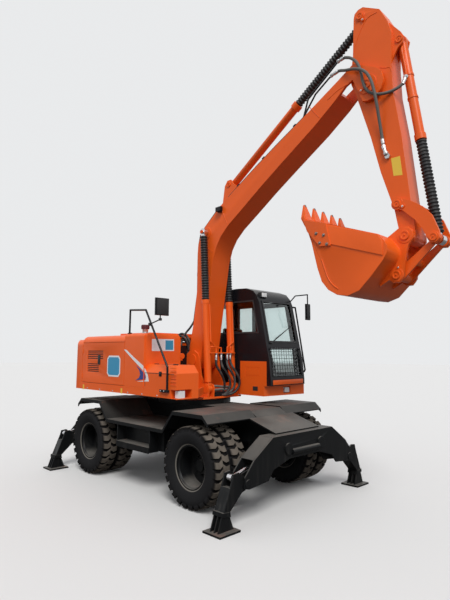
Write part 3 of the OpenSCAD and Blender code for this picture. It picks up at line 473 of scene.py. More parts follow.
def tyre(centre):
    """The casing and lugs of one tyre about its centre."""
    half = tyre_half
    section = [(bead, -half + 0.042), (bead + 0.04, -half + 0.014), (bead + 0.12, -half),
               (bead + 0.165, -half + 0.003), (casing_outside - 0.026, -half + 0.016),
               (casing_outside - 0.006, -half + 0.036), (casing_outside, 0)]
    section += [(radius, -across) for radius, across in reversed(section[:-1])]
    section = [centre + Vector((0, across, radius)) for radius, across in section]
    parts = [turned(section, centre, (0, 1, 0), 72)]
    for side in (1, -1):
        lug = tread_lug(side)
        for number in range(tread_lugs):
            turn = math.tau * (number + (0.5 if side < 0 else 0)) / tread_lugs
            parts.append(copy_of(lug, Matrix.Translation(centre) @ Matrix.Rotation(turn, 4, "Y")))
        bpy.data.objects.remove(lug)
    return parts


both_sides = ((1, "left"), (-1, "right"))
for end, along in (("front", axle_place), ("rear", -axle_place)):
    for sign, side in both_sides:
        pair = tyre(Vector((along, sign * outer_tyre, axle_height)))
        pair += tyre(Vector((along, sign * inner_tyre, axle_height)))
        tread = settle(pair, "tread_" + end + "_" + side, "wheels_" + end + "_" + side, rubber)
        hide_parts("tyres_" + end + "_" + side)

# Bellows over the rods
# Folded rubber sleeves, closed with a clamp at each end.
bellows_rubber, bellows_place = start_material("bellows_rubber")
film = bellows_place.noise(14, 5)
feed(bellows_rubber, {"Base Color": bellows_place.mix((0.012, 0.012, 0.013, 1), road_dust,
                                                      film.rise(0.52, 0.8) * 0.22),
                      "Roughness": 0.42 + film * 0.25,
                      "Normal": bumped(bellows_place, bellows_place.noise(150, 2), 0.1, 0.001)})
bellows_radius = 0.0615


def bellows(foot, head, length, folds, radius):
    """A sleeve turned about the line from foot to head, starting at foot."""
    line = (Vector(head) - Vector(foot)).normalized()
    side = line.orthogonal().normalized()
    step = length / folds
    points = [foot + side * (radius - 0.015)]
    for number in range(folds):
        for share, out in ((0.08, 0.013), (0.36, 0.002), (0.5, 0.0), (0.64, 0.002), (0.92, 0.013)):
            points.append(foot + line * step * (number + share) + side * (radius - out))
    points.append(foot + line * length + side * (radius - 0.015))
    return turned(points, foot, line, 32)


def cylinder_line(base, eye, start, stop, across):
    """Two points on a cylinder's axis, at distances from its fixed pin."""
    base = Vector((base[0], across, base[1]))
    line = (Vector((eye[0], across, eye[1])) - base).normalized()
    return base + line * start, base + line * stop


# each row: joint and body, fixed pin, rod pin, start and end of the sleeve, places across, folds, share kept
for joint, base, eye, start, stop, sides, folds, keep in (
        ("boom_rods", (0.62, 1.45), (0.48, 3.96), 1.397, 2.446, (-0.266, 0.266), 25, 0.5),
        ("arm_rod", (0.885, 4.705), (3.298, 6.317), 1.601, 2.75, (0,), 27, 0.379),
        ("bucket_rod", (3.78, 5.79), (4.118, 3.27), 1.325, 2.471, (0,), 27, 0.681)):
    sleeves = []
    for across in sides:
        foot, head = cylinder_line(base, eye, start, stop, across)
        sleeves.append(bellows(foot, head, stop - start, folds, bellows_radius))
    name = joint.split("_")[0] + "_bellows"
    sleeve = settle(sleeves, name + "_folds", joint, bellows_rubber)
    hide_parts(name)
    head - foot
    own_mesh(sleeve)

# Markings on the bodywork
# Printed film, all of it plain: a blank blue panel and a white and blue swoosh on the right side, a white
# label with a blue block on the tank's front, yellow reflectors on the skirt, a yellow label on the arm.
film_thick = 0.0012
side_face = 1.2452
right_face = -side_face
right_out = (0, -film_thick, 0)


def film_material(name, colour):
    """Printed film in one colour, under a little dust."""
    material, place = start_material(name)
    cloud = place.noise(22, 4)
    feed(material, {"Base Color": place.mix(colour, road_dust, cloud.rise(0.55, 0.85) * 0.12),
                    "Roughness": 0.28 + cloud * 0.15})
    return material


def thicken(lift):
    """Thickens the flat mesh in edit mode along lift, and leaves edit mode."""
    bpy.ops.mesh.select_all(action="SELECT")
    bpy.ops.mesh.extrude_region_move(TRANSFORM_OT_translate={"value": Vector(lift)})
    face_outwards()


def film_patch(points, lift):
    """A thin sheet with this outline, thickened outwards along lift."""
    patch = begin_face(points)
    thicken(lift)
    return patch


def label(name, patches, lift, body, material):
    """One piece of film on a body, from the outlines of its patches."""
    settle([film_patch(points, lift) for points in patches], name, body, material, smooth=0)


def at_side(across, points):
    """Points in an upright plane that faces sideways, from their X and Z."""
    return [(x, across, z) for x, z in points]


def at_front(along, points):
    """Points in an upright plane that faces forward, from their Y and Z."""
    return [(along, y, z) for y, z in points]


white_film = film_material("white_film", (0.78, 0.79, 0.80, 1))
blue_film = film_material("blue_film", (0.012, 0.045, 0.23, 1))
sky_film = film_material("sky_film", (0.03, 0.28, 0.48, 1))
yellow_film = film_material("yellow_film", (0.85, 0.55, 0.05, 1))

panel_left = -0.735
panel_right = -0.349
panel_foot = 1.62
panel_top = 1.952
panel_corner = 0.05


def panel_outline(inset, place):
    """The side panel's outline, its corners cut off, as a list of points at this place across."""
    left = panel_left + inset
    right = panel_right - inset
    foot = panel_foot + inset
    top = panel_top - inset
    cut = panel_corner - inset * 0.6
    return at_side(place, [(left + cut, foot), (right - cut, foot), (right, foot + cut), (right, top - cut),
                           (right - cut, top), (left + cut, top), (left, top - cut), (left, foot + cut)])


label("side_panel", [panel_outline(0.0, right_face)], right_out, "side_door_right", white_film)
label("side_panel_field", [panel_outline(0.026, right_face - film_thick * 1.2)], right_out, "side_door_right",
      sky_film)

swoosh_band = [(-0.256, 2.048), (-0.19, 2.046), (0.02, 1.932), (0.263, 1.813), (0.34, 1.745), (0.388, 1.68),
               (0.417, 1.588), (0.11, 1.573), (0.335, 1.603), (0.348, 1.655), (0.306, 1.718), (0.20, 1.782),
               (0.0, 1.893)]
swoosh_field = [(0.085, 1.81), (0.195, 1.762), (0.295, 1.702), (0.336, 1.65), (0.325, 1.618), (0.075, 1.588),
                (0.165, 1.63), (0.196, 1.68), (0.17, 1.745)]
tank_seam = 0.277
box_seam = 0.3025


def cut_film(name, points, material):
    """A sheet with this outline on the right side, in two parts: one on the tank and one on the tool box."""
    parts = []
    for edge, keep_rear in ((tank_seam, True), (box_seam, False)):
        sheet = film_patch(at_side(right_face, points), right_out)
        bpy.ops.object.mode_set(mode="EDIT")
        bpy.ops.mesh.select_all(action="SELECT")
        bpy.ops.mesh.bisect(plane_co=(edge, 0, 0), plane_no=(1, 0, 0), use_fill=True, clear_outer=keep_rear,
                            clear_inner=not keep_rear)
        bpy.ops.object.mode_set(mode="OBJECT")
        parts.append(sheet)
    settle(parts, name, "upper", material, smooth=0)


cut_film("swoosh_band", swoosh_band, white_film)
cut_film("swoosh_field", swoosh_field, blue_film)

front_face = 0.3012
front_out = (film_thick, 0, 0)
label_outline = [(-1.119, 2.027), (-0.70, 2.029), (-0.704, 2.21), (-1.123, 2.205)]
label("tank_label", [at_front(front_face, label_outline)], front_out, "upper", white_film)
block_outline = [(-0.868, 2.046), (-0.718, 2.046), (-0.72, 2.192), (-0.87, 2.19)]
label("tank_label_block", [at_front(front_face + film_thick, block_outline)], front_out, "upper", sky_film)
reflectors = [at_side(right_face, [(rear, 1.372), (rear + 0.042, 1.372), (rear + 0.042, 1.452), (rear, 1.452)])
              for rear in (-1.511, -0.317)]
label("side_reflectors", reflectors, right_out, "upper", yellow_film)
label("arm_label", [at_side(-0.1302, [(3.646, 4.311), (3.67, 4.089), (3.779, 4.072), (3.757, 4.309)])],
      right_out, "arm", yellow_film)
label("deck_label", [at_side(0.3358, [(1.01, 1.412), (1.114, 1.412), (1.114, 1.479), (1.01, 1.479)])],
      right_out, "upper", plastic)

# Hoses at the boom's foot
# Four rubber pressure hoses hang from the comb plate to the block on the deck.
# Their upper ends are crimped into zinc-plated ferrules with hexagon nuts. Two more run across behind them.
hose_width = 0.038
hose_rubber, hose_place = start_material("hose_rubber")
hose_dust = hose_place.noise(11, 5)
feed(hose_rubber, {"Base Color": hose_place.mix((0.014, 0.013, 0.013, 1), road_dust,
                                                hose_dust.rise(0.42, 0.78) * 0.32),
                   "Roughness": 0.45 + hose_dust * 0.3,
                   "Normal": bumped(hose_place, hose_place.wave("DIAGONAL", 46.0, 1.5), 0.22, 0.0015)})
hose_sleeve = painted_steel("hose_sleeve", (0.12, 0.115, 0.105, 1), 0.55, 0.6)
zinc, zinc_place = start_material("zinc")
bloom = zinc_place.noise(35, 5)
dull_zinc = zinc_place.mix((0.60, 0.61, 0.62, 1), (0.26, 0.22, 0.18, 1), bloom.rise(0.56, 0.82) * 0.5)
feed(zinc, {"Base Color": dull_zinc, "Metallic": 1.0, "Roughness": 0.24 + bloom * 0.28})


def hose(points, width):
    """A round hose through the points, as a mesh, and the line that it follows."""
    bpy.ops.object.select_all(action="DESELECT")
    bpy.ops.curve.primitive_bezier_curve_add(location=(0, 0, 0))
    tube = bpy.context.object
    tube.data.resolution_u = 8
    spline = tube.data.splines[0]
    spline.bezier_points.add(len(points) - 2)
    for knot, place in zip(spline.bezier_points, points):
        knot.co = place
        knot.handle_left_type = "AUTO"
        knot.handle_right_type = "AUTO"
    bpy.ops.object.duplicate()
    route = bpy.context.object
    bpy.ops.object.convert(target="MESH")
    line = [corner.co.copy() for corner in route.data.vertices]
    bpy.data.objects.remove(route)
    begin_on(tube)
    tube.data.bevel_depth = width / 2
    tube.data.bevel_resolution = 3
    tube.data.use_fill_caps = True
    bpy.ops.object.convert(target="MESH")
    return bpy.context.object, line


def bent_bar(points, width):
    """A round bar, pipe or weld bead through the points."""
    return hose(points, width)[0]


def hang(name, points, width, material, bodies, span=None):
    """A hose that is fixed at both ends. It rides on one body, or, given a span, stays where it is on no body.
    """
    piece, line = hose(points, width)
    piece.name = name
    piece.data.materials.clear()
    piece.data.materials.append(material)
    begin_on(piece)
    bpy.ops.object.shade_smooth_by_angle(angle=math.radians(50))
    if span:
        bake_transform(piece)
    else:
        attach(piece, bodies[0])


def hose_end(width):
    """A crimped ferrule and its nut, at the origin; the hose leaves it along Z."""
    ferrule = lathe([(0.6, -0.012), (1.0, -0.012), (1.0, 0.004), (1.22, 0.01), (1.22, 0.03), (1.14, 0.034),
                     (1.22, 0.038), (1.22, 0.052), (1.14, 0.056), (1.2, 0.06), (1.2, 0.07), (0.98, 0.074)],
                    20, width / 2)
    nut = lathe([(0.55, -0.044), (1.2, -0.044), (1.32, -0.04), (1.32, -0.016), (1.2, -0.012), (0.6, -0.012)],
                6, width / 2)
    return [ferrule, nut]


def aimed(place, along):
    """The matrix that sets what stands on the origin along Z at a place, pointing along a direction."""
    return Matrix.Translation(Vector(place)) @ Vector(along).to_track_quat("Z", "Y").to_matrix().to_4x4()


def copies_at(model, spots):
    """Copies of the model's pieces, one set for each place and direction. The model itself is removed."""
    copies = [copy_of(part, aimed(place, out)) for place, out in spots for part in model]
    for part in model:
        bpy.data.objects.remove(part)
    return copies


def hose_ends(name, spots, body):
    """Hose ends on one body, one for each place and direction."""
    settle(copies_at(hose_end(hose_width), spots), name, body, zinc)


foot_hoses = [
    ("foot_hose_1", [(0.65, -0.128, 1.95), (0.651, -0.132, 1.88), (0.66, -0.128, 1.803),
                     (0.676, -0.063, 1.704), (0.684, 0.0, 1.60), (0.682, 0.03, 1.50), (0.655, 0.03, 1.402)]),
    ("foot_hose_2", [(0.65, -0.018, 1.95), (0.653, -0.022, 1.88), (0.672, -0.012, 1.792),
                     (0.70, 0.052, 1.693), (0.72, 0.105, 1.59), (0.722, 0.115, 1.49), (0.70, 0.085, 1.40),
                     (0.672, 0.045, 1.352)]),
    ("foot_hose_3", [(0.65, 0.117, 1.95), (0.653, 0.108, 1.88), (0.676, 0.105, 1.80), (0.712, 0.15, 1.70),
                     (0.738, 0.195, 1.60), (0.742, 0.20, 1.51), (0.73, 0.16, 1.42), (0.70, 0.08, 1.37),
                     (0.676, 0.02, 1.352)]),
    ("foot_hose_4", [(0.65, 0.186, 1.95), (0.656, 0.180, 1.88), (0.69, 0.186, 1.80), (0.74, 0.228, 1.70),
                     (0.772, 0.268, 1.60), (0.775, 0.276, 1.51), (0.76, 0.235, 1.42), (0.735, 0.14, 1.362),
                     (0.70, 0.03, 1.345), (0.676, -0.03, 1.345)])]
for name, points in foot_hoses:
    hang(name, points, hose_width, hose_rubber, ("boom_barrels", "upper"), ((0.66, 0, 1.9), (0.66, 0, 1.42)))
hose_ends("foot_hose_ends", [((0.65, y, 1.962), (0, 0, -1)) for y in (-0.128, -0.018, 0.117, 0.186)],
          "boom_barrels")
hang("cross_hose_1", [(0.60, -0.225, 1.475), (0.63, -0.12, 1.482), (0.655, 0.0, 1.47), (0.652, 0.12, 1.462),
                      (0.60, 0.205, 1.455), (0.52, 0.26, 1.44)], hose_width, hose_sleeve, ("upper",))
hang("cross_hose_2", [(0.60, -0.225, 1.428), (0.635, -0.12, 1.425), (0.66, -0.02, 1.43), (0.655, 0.10, 1.42),
                      (0.60, 0.19, 1.41), (0.52, 0.25, 1.40)], hose_width, hose_sleeve, ("upper",))

# Hoses behind the boom
# Thick hoses come up out of the black covers beside the tank and loop forward into the back of the boom.
loop_hoses = [
    ("loop_hose_1", [(-0.02, -0.30, 2.10), (-0.03, -0.27, 2.20), (-0.005, -0.22, 2.32), (0.06, -0.172, 2.42),
                     (0.13, -0.15, 2.52)], 0.034),
    ("loop_hose_2", [(-0.11, -0.33, 2.10), (-0.12, -0.33, 2.18), (-0.07, -0.30, 2.27), (0.02, -0.262, 2.25),
                     (0.075, -0.235, 2.16), (0.08, -0.215, 2.05)], 0.04),
    ("loop_hose_3", [(-0.07, -0.27, 2.10), (-0.075, -0.27, 2.16), (-0.02, -0.25, 2.215), (0.045, -0.23, 2.17),
                     (0.06, -0.215, 2.08), (0.055, -0.21, 1.99)], 0.04),
    ("loop_hose_4", [(-0.16, -0.29, 2.10), (-0.17, -0.28, 2.19), (-0.12, -0.24, 2.31), (-0.03, -0.205, 2.30),
                     (0.045, -0.18, 2.20), (0.062, -0.175, 2.10)], 0.04)]
for name, points, width in loop_hoses:
    hang(name, points, width, hose_rubber, ("upper", "boom"), (points[1], points[-1]))

# Hoses over the elbow
# Two long hoses in grey sleeves hang in loops beside the joint, from the pipes on the boom to the arm: one to
# the pipe along the bucket cylinder, one to a steel coupling on the arm's side.
elbow_hose_1 = [(3.01, -0.16, 5.836), (3.06, -0.164, 5.842), (3.12, -0.178, 5.815), (3.205, -0.205, 5.749),
                (3.29, -0.222, 5.64), (3.34, -0.228, 5.498), (3.365, -0.228, 5.355), (3.411, -0.222, 5.232),
                (3.506, -0.206, 5.15), (3.62, -0.175, 5.125), (3.73, -0.13, 5.15), (3.80, -0.095, 5.20),
                (3.826, -0.078, 5.25)]
elbow_hose_2 = [(2.92, -0.192, 5.662), (2.99, -0.197, 5.672), (3.12, -0.222, 5.62), (3.30, -0.262, 5.54),
                (3.416, -0.276, 5.45), (3.485, -0.276, 5.33), (3.522, -0.262, 5.171), (3.54, -0.236, 5.0),
                (3.545, -0.19, 4.80), (3.554, -0.158, 4.62), (3.565, -0.154, 4.52)]
hang("elbow_hose_1", elbow_hose_1, hose_width, hose_sleeve, ("boom", "arm"),
     ((3.1, -0.2, 5.75), (3.42, -0.2, 5.3)))
hang("elbow_hose_2", elbow_hose_2, hose_width, hose_sleeve, ("boom", "arm"),
     ((3.1, -0.2, 5.65), (3.5, -0.2, 5.2)))
hose_ends("boom_hose_ends", [((3.012, -0.16, 5.837), (1, -0.05, 0.1)),
                             ((2.925, -0.192, 5.663), (1, -0.05, 0.12))], "boom")
hose_ends("arm_hose_ends", [((3.83, -0.077, 5.262), (-0.35, -0.25, -1)),
                            ((3.567, -0.154, 4.50), (-0.12, -0.03, 1))], "arm")
barrel_pipe = bent_bar([(3.80, -0.05, 5.70), (3.801, -0.066, 5.66), (3.818, -0.069, 5.53),
                        (3.836, -0.070, 5.40), (3.842, -0.072, 5.33), (3.835, -0.076, 5.285)], 0.024)
settle([barrel_pipe], "bucket_barrel_pipe", "bucket_barrel", orange_paint)
coupling = lathe([(0.0001, 0), (0.026, 0), (0.03, 0.005), (0.03, 0.035), (0.022, 0.042), (0.022, 0.08),
                  (0.027, 0.085), (0.027, 0.11), (0.0001, 0.112)], 24)
coupling.matrix_world = aimed((3.602, -0.152, 4.36), (-0.3, 0, 1))
coupling_nut = lathe([(0.0001, 0), (0.03, 0), (0.034, 0.004), (0.034, 0.03), (0.0001, 0.034)], 6)
coupling_nut.matrix_world = aimed((3.612, -0.129, 4.345), (0, -1, 0))
settle([coupling, coupling_nut], "arm_coupling", "arm", zinc)

# Fuel filler, latches and small fittings of the body
# A plated filler neck with a maroon cap, black paddle latches on the doors, rubber in the joints between the
# panels, a hinged lid on the tool box, and zinc-plated screws.
def plate(low, high, edge=0.003):
    """A box between two corners, with softened edges."""
    low = Vector(low)
    high = Vector(high)
    bpy.ops.object.select_all(action="DESELECT")
    bpy.ops.mesh.primitive_cube_add(size=1, location=(low + high) / 2)
    piece = bpy.context.object
    piece.scale = high - low
    bpy.ops.object.transform_apply(location=True, rotation=True, scale=True)
    if edge:
        round_edges(piece, edge, 2)
    return piece


def side_plate(sign, low, high, edge):
    """A plate by its corners on the left side, kept there with sign 1 or mirrored to the right with -1."""
    near, far = sorted((sign * low[1], sign * high[1]))
    return plate((low[0], near, low[2]), (high[0], far, high[2]), edge)


def screw(size):
    """A hexagon head on a washer, on the origin and facing along Z; size is the washer's radius."""
    washer = lathe([(0, 0.2), (0.93, 0.2), (1, 0.14), (1, -0.1)], 14, size, size)
    head = lathe([(0, 0.74), (0.6, 0.74), (0.72, 0.62), (0.72, 0.1)], 6, size, size)
    return [washer, head]


def screws(name, spots, size, body, material=zinc):
    """Screws on one body, one for each place and direction."""
    settle(copies_at(screw(size), spots), name, body, material, smooth=30)


maroon = painted_steel("maroon_cap", (0.12, 0.018, 0.022, 1), 0.35, 0.35)
filler_place = (0.042, -1.063, 0)
cap_grips = 16
neck = lathe([(0.0405, 2.30), (0.052, 2.294), (0.052, 2.306), (0.0435, 2.31), (0.0435, 2.35), (0.046, 2.353),
              (0.046, 2.3615), (0.0405, 2.3615)], 32)
neck.location = filler_place
settle([neck], "filler_neck", "upper", zinc)
cap = lathe([(0.0575, 2.3605), (0.0605, 2.363), (0.0605, 2.42), (0.057, 2.4285), (0.03, 2.4305),
             (0, 2.4305)], 40)
cap.location = filler_place
cap_parts = [cap]
for number in range(cap_grips):
    grip = plate((0.055, -0.0045, 2.37), (0.0645, 0.0045, 2.418), 0.002)
    turn = Matrix.Rotation(math.tau * number / cap_grips, 4, "Z")
    grip.matrix_world = Matrix.Translation(filler_place) @ turn
    cap_parts.append(grip)
settle(cap_parts, "filler_cap", "upper", maroon)

for sign, side in both_sides:
    latch = [side_plate(sign, (-1.035, side_face, 1.80), (-0.955, side_face + 0.004, 1.955), 0.0015),
             side_plate(sign, (-1.02, side_face, 1.84), (-0.97, side_face + 0.012, 1.94), 0.004)]
    settle(latch, "door_latch_" + side, "side_door_" + side, plastic)

# each row: rear end, front end, lower edge, upper edge of a louvre window
louvre_windows = [(-1.381, -0.874, 1.894, 2.059), (-1.38, -1.003, 1.679, 1.82)]
# black plates just inside each louvre window make the slots read dark: painted shade of the bay behind them
for sign, side in both_sides:
    shade_plates = [side_plate(sign, (rear, 1.2305, foot), (front, 1.2325, top), 0)
               for rear, front, foot, top in louvre_windows]
    settle(shade_plates, "louvre_shade_plates_" + side, "side_door_" + side, plastic, smooth=0)
box_ribs = [plate((0.925, -1.2515, 1.555 + 0.046 * number), (1.052, -1.243, 1.567 + 0.046 * number))
            for number in range(6)]
settle(box_ribs, "box_ribs", "upper", orange_paint)

lid_seams = [plate((0.308, -1.2468, 1.706), (1.0, -1.244, 1.713), 0),
             plate((0.318, -1.2468, 1.52), (0.325, -1.244, 1.706), 0),
             plate((0.62, -1.14, 1.829), (0.628, -0.86, 1.8318), 0)]
settle(lid_seams, "lid_seams", "upper", plastic, smooth=0)
lid_fittings = [plate((x, -1.142, 1.829), (x + 0.09, -1.118, 1.844), 0.004) for x in (0.40, 0.84)]
lid_fittings += [plate((0.66, -1.2535, 1.672), (0.72, -1.244, 1.738))]
settle(lid_fittings, "lid_fittings", "upper", cab_paint)

skirt_screws = [((x, -side_face, 1.40), (0, -1, 0)) for x in (-1.35, -0.95, -0.55, -0.12, 0.25, 0.62)]
skirt_screws += [((x, side_face, 1.40), (0, 1, 0)) for x in (-1.35, -0.95, -0.55, -0.15, 0.25, 0.65, 1.05)]
screws("skirt_screws", skirt_screws, 0.011, "upper")
rail_screws = [((x, -1.2812, 1.476), (0, -1, 0)) for x in (0.745, 0.82)]
rail_screws += [((-0.21, -1.198, 2.3062), (0, 0, 1)), ((-0.18, -1.172, 2.3062), (0, 0, 1))]
screws("rail_screws", rail_screws, 0.009, "upper")

# Mirrors
# Moulded black shells, each with a silvered glass that faces the driver, clamped to their tubes.
silver = plain_material("mirror_glass", {"Base Color": (0.78, 0.80, 0.81, 1), "Metallic": 1,
                                         "Roughness": 0.03})
glasses = [plate((0.6975, -1.365, 2.539), (0.7003, -1.16, 2.763), 0.0008),
           plate((1.4175, 1.198, 2.57), (1.4203, 1.292, 2.816), 0.0008)]
settle(glasses, "mirror_glasses", "upper", silver)
shells = [plate((0.7335, -1.365, 2.537), (0.746, -1.16, 2.765), 0.0055),
          plate((1.4475, 1.197, 2.568), (1.458, 1.293, 2.818), 0.005),
          plate((0.695, -1.304, 2.452), (0.74, -1.272, 2.488), 0.005),
          plate((0.452, -1.306, 2.388), (0.49, -1.262, 2.432), 0.005)]
settle(shells, "mirror_shells", "upper", plastic)

# Cab trim
# Rubber glazing strips round the panes, a wiper on the windscreen, a handle on the door, the orange sill
# under the front window, and a lamp under the roof's edge.
strip_wide = 0.026


def glazing(points, lift):
    """A flat strip inside a closed outline, thickened along lift."""
    strip = begin_face(points)
    bpy.ops.mesh.inset(thickness=strip_wide)
    bpy.ops.mesh.delete(type="FACE")
    thicken(lift)
    return strip


# each row: a pane's outline, and the way that its strip stands out
panes = [(at_side(0.3462, [(-0.13, 2.32), (1.132, 2.32), (1.018, 2.86), (-0.13, 2.86)]), (0, -0.004, 0)),
         (at_side(1.2148, [(-0.13, 2.09), (0.25, 2.09), (0.25, 2.86), (-0.13, 2.86)]), (0, 0.004, 0)),
         (at_front(-0.2138, [(0.426, 2.32), (1.135, 2.32), (1.135, 2.85), (0.426, 2.85)]), (-0.004, 0, 0)),
         ([(1.2745, 0.411, 2.172), (1.2745, 1.15, 2.172), (1.1335, 1.15, 2.85), (1.1335, 0.411, 2.85)],
          (0.008, 0, 0.002))]
strips = [glazing(points, lift) for points, lift in panes]
settle(strips, "glazing_strips", "upper", plastic, smooth=0)
door_panes = [[(0.40, 2.15), (1.133, 2.15), (0.998, 2.83), (0.40, 2.83)],
              [(0.40, 1.65), (1.192, 1.65), (1.15, 2.09), (0.40, 2.09)]]
door_strips = [glazing(at_side(1.2188, points), (0, 0.004, 0)) for points in door_panes]
settle(door_strips, "door_glazing_strips", "cab_door", plastic, smooth=0)
handle = [bent_bar([(0.43, 1.226, 2.04), (0.43, 1.243, 2.05), (0.43, 1.245, 2.085), (0.43, 1.245, 2.14),
                    (0.43, 1.243, 2.175), (0.43, 1.226, 2.185)], 0.016),
          plate((0.36, 1.218, 2.03), (0.40, 1.232, 2.12))]
settle(handle, "cab_door_handle", "cab_door", plastic)
sill = plate((1.3715, 0.40, 1.512), (1.3765, 1.17, 1.585), 0.002)
settle([sill], "cab_sill", "upper", orange_paint)
wiper_hub = lathe([(0.0, 0.03), (0.018, 0.028), (0.022, 0.02), (0.022, -0.01)], 20)
wiper_hub.matrix_world = aimed((1.279, 0.46, 2.165), (1, 0, 0.2))
wiper_arm = [(1.287, 0.46, 2.165), (1.280, 0.57, 2.215), (1.2645, 0.72, 2.29), (1.2548, 0.81, 2.335)]
wiper_blade = [(1.2684, 0.60, 2.235), (1.2528, 0.76, 2.31), (1.2362, 0.93, 2.39), (1.2216, 1.08, 2.46)]
wiper = [bent_bar(wiper_arm, 0.016), bent_bar(wiper_blade, 0.014), wiper_hub]
settle(wiper, "wiper", "upper", plastic)
roof_lamp = plate((1.052, 0.42, 2.90), (1.125, 0.56, 2.985), 0.006)
settle([roof_lamp], "roof_lamp_box", "upper", plastic)
roof_lens = plate((1.1225, 0.43, 2.91), (1.1275, 0.55, 2.975), 0.0015)
settle([roof_lens], "roof_lamp_lens", "upper", lens)

# Driver's place
# A sprung seat with a padded cushion and back in woven cloth, consoles with levers, a steering wheel on its
# column, pedals and a ribbed floor mat. The foam is moulded and the covers are sewn in channels.
cloth, cloth_place = start_material("seat_cloth")
weft = cloth_place.wave("X", 95.0)
warp = cloth_place.wave("Z", 95.0)
weave = weft * warp * 0.55 + cloth_place.noise(6, 5).rise(0.5, 0.8) * 0.2
feed(cloth, {"Base Color": cloth_place.mix((0.028, 0.029, 0.032, 1), (0.085, 0.085, 0.09, 1), weave),
             "Roughness": 0.86, "Sheen Weight": 0.25,
             "Normal": bumped(cloth_place, weft + warp, 0.3, 0.0012)})
cushion_cuts = 24


def cushion(name, middle, size, tilt, channels, crown):
    """A moulded pad: soft corners, a crowned face, sides that pull in, and sewn channels across the face."""
    bpy.ops.object.select_all(action="DESELECT")
    bpy.ops.mesh.primitive_cube_add(size=1)
    pad = bpy.context.object
    pad.scale = size
    bpy.ops.object.transform_apply(location=True, rotation=True, scale=True)
    round_edges(pad, min(size) * 0.36, 5)
    bpy.ops.object.mode_set(mode="EDIT")
    for step in range(1, cushion_cuts):
        share = step / cushion_cuts - 0.5
        bpy.ops.mesh.select_all(action="SELECT")
        bpy.ops.mesh.bisect(plane_co=(size[0] * share, 0, 0), plane_no=(1, 0, 0))
        bpy.ops.mesh.select_all(action="SELECT")
        bpy.ops.mesh.bisect(plane_co=(0, size[1] * share, 0), plane_no=(0, 1, 0))
    bpy.ops.object.mode_set(mode="OBJECT")
    for corner in pad.data.vertices:
        across = 2 * corner.co.x / size[0]
        aside = 2 * corner.co.y / size[1]
        high = 2 * corner.co.z / size[2]
        dome = (1 - min(1, across ** 2)) * (1 - min(1, aside ** 2))
        if high > 0:
            corner.co.z += high * crown * (dome - 0.5)
            for seam in channels:
                corner.co.z -= high * 0.012 * math.exp(-((across - seam) / 0.035) ** 2) * min(1, dome * 6)
            for seam in (-0.66, 0.66):
                corner.co.z -= high * 0.010 * math.exp(-((aside - seam) / 0.03) ** 2) * min(1, dome * 6)
        corner.co.x *= 1 - 0.03 * (1 - high ** 2) * abs(across)
        corner.co.y *= 1 - 0.02 * (1 - high ** 2) * abs(aside)
    pad.matrix_world = Matrix.Translation(middle) @ Matrix.Rotation(tilt, 4, "Y")
    piece = settle([pad], name, "upper", cloth, smooth=60)


cushion("seat_cushion", (0.41, 0.77, 1.828), (0.52, 0.48, 0.13), 0, (-0.5, -0.1, 0.3), 0.02)
cushion("seat_back", (0.115, 0.77, 2.155), (0.58, 0.44, 0.115), math.radians(96), (-0.55, -0.2, 0.15), 0.018)
cab_floor = 1.5405
spring = lathe([(0.13 + 0.012 * (number % 2), 1.575 + 0.0205 * number) for number in range(7)], 24)
spring.location = (0.40, 0.77, 0)
seat_base = [plate((0.20, 0.60, 1.6975), (0.60, 0.94, 1.7625), 0.01),
             plate((0.22, 0.62, cab_floor), (0.58, 0.92, 1.575), 0.006), spring]
consoles = [plate((0.15, 0.405, cab_floor), (0.68, 0.51, 1.96), 0.02),
            plate((0.15, 1.03, cab_floor), (0.60, 1.13, 1.96), 0.02)]
for across in (0.458, 1.08):
    lever = lathe([(0.036, 0), (0.03, 0.012), (0.033, 0.018), (0.024, 0.03), (0.027, 0.036), (0.017, 0.05),
                   (0.009, 0.058), (0.009, 0.10), (0.021, 0.108), (0.025, 0.135), (0.022, 0.165),
                   (0.0, 0.175)], 20)
    lever.location = (0.53, across, 1.957)
    consoles.append(lever)
column = [plate((1.07, 0.715, cab_floor), (1.185, 0.825, 1.60), 0.012),
          bent_bar([(1.13, 0.77, 1.58), (1.04, 0.77, 1.85), (0.958, 0.77, 2.09)], 0.07)]
bpy.ops.object.select_all(action="DESELECT")
bpy.ops.mesh.primitive_torus_add(major_radius=0.172, minor_radius=0.014, major_segments=48, minor_segments=12)
wheel_parts = [bpy.context.object]
wheel_parts += [lathe([(0, 0.02), (0.03, 0.018), (0.042, 0.004), (0.042, -0.02), (0.0, -0.03)], 24)]
spokes = 3
for number in range(spokes):
    spoke = plate((0.03, -0.014, -0.008), (0.172, 0.014, 0.004))
    spoke.matrix_world = Matrix.Rotation(math.tau * number / spokes + 0.5, 4, "Z")
    wheel_parts.append(spoke)
wheel_place = Matrix.Translation((0.95, 0.77, 2.108)) @ Matrix.Rotation(math.radians(-18), 4, "Y")
for part in wheel_parts:
    part.matrix_world = wheel_place @ part.matrix_world
pedals = [plate((1.19, y, 1.60), (1.225, y + 0.07, 1.69), 0.006) for y in (0.56, 0.90)]
pedals += [plate((1.08, y + 0.022, cab_floor), (1.21, y + 0.048, 1.63), 0.004) for y in (0.56, 0.90)]
mat = [plate((0.62, 0.42, cab_floor), (1.25, 1.13, 1.547), 0.002)]
mat += [plate((0.65 + 0.035 * number, 0.44, 1.546), (0.664 + 0.035 * number, 1.11, 1.5495), 0)
        for number in range(16)]
fittings = settle(seat_base + consoles + column + wheel_parts + pedals + mat, "driver_fittings", "upper",
                  plastic)
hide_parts("cab_interior")

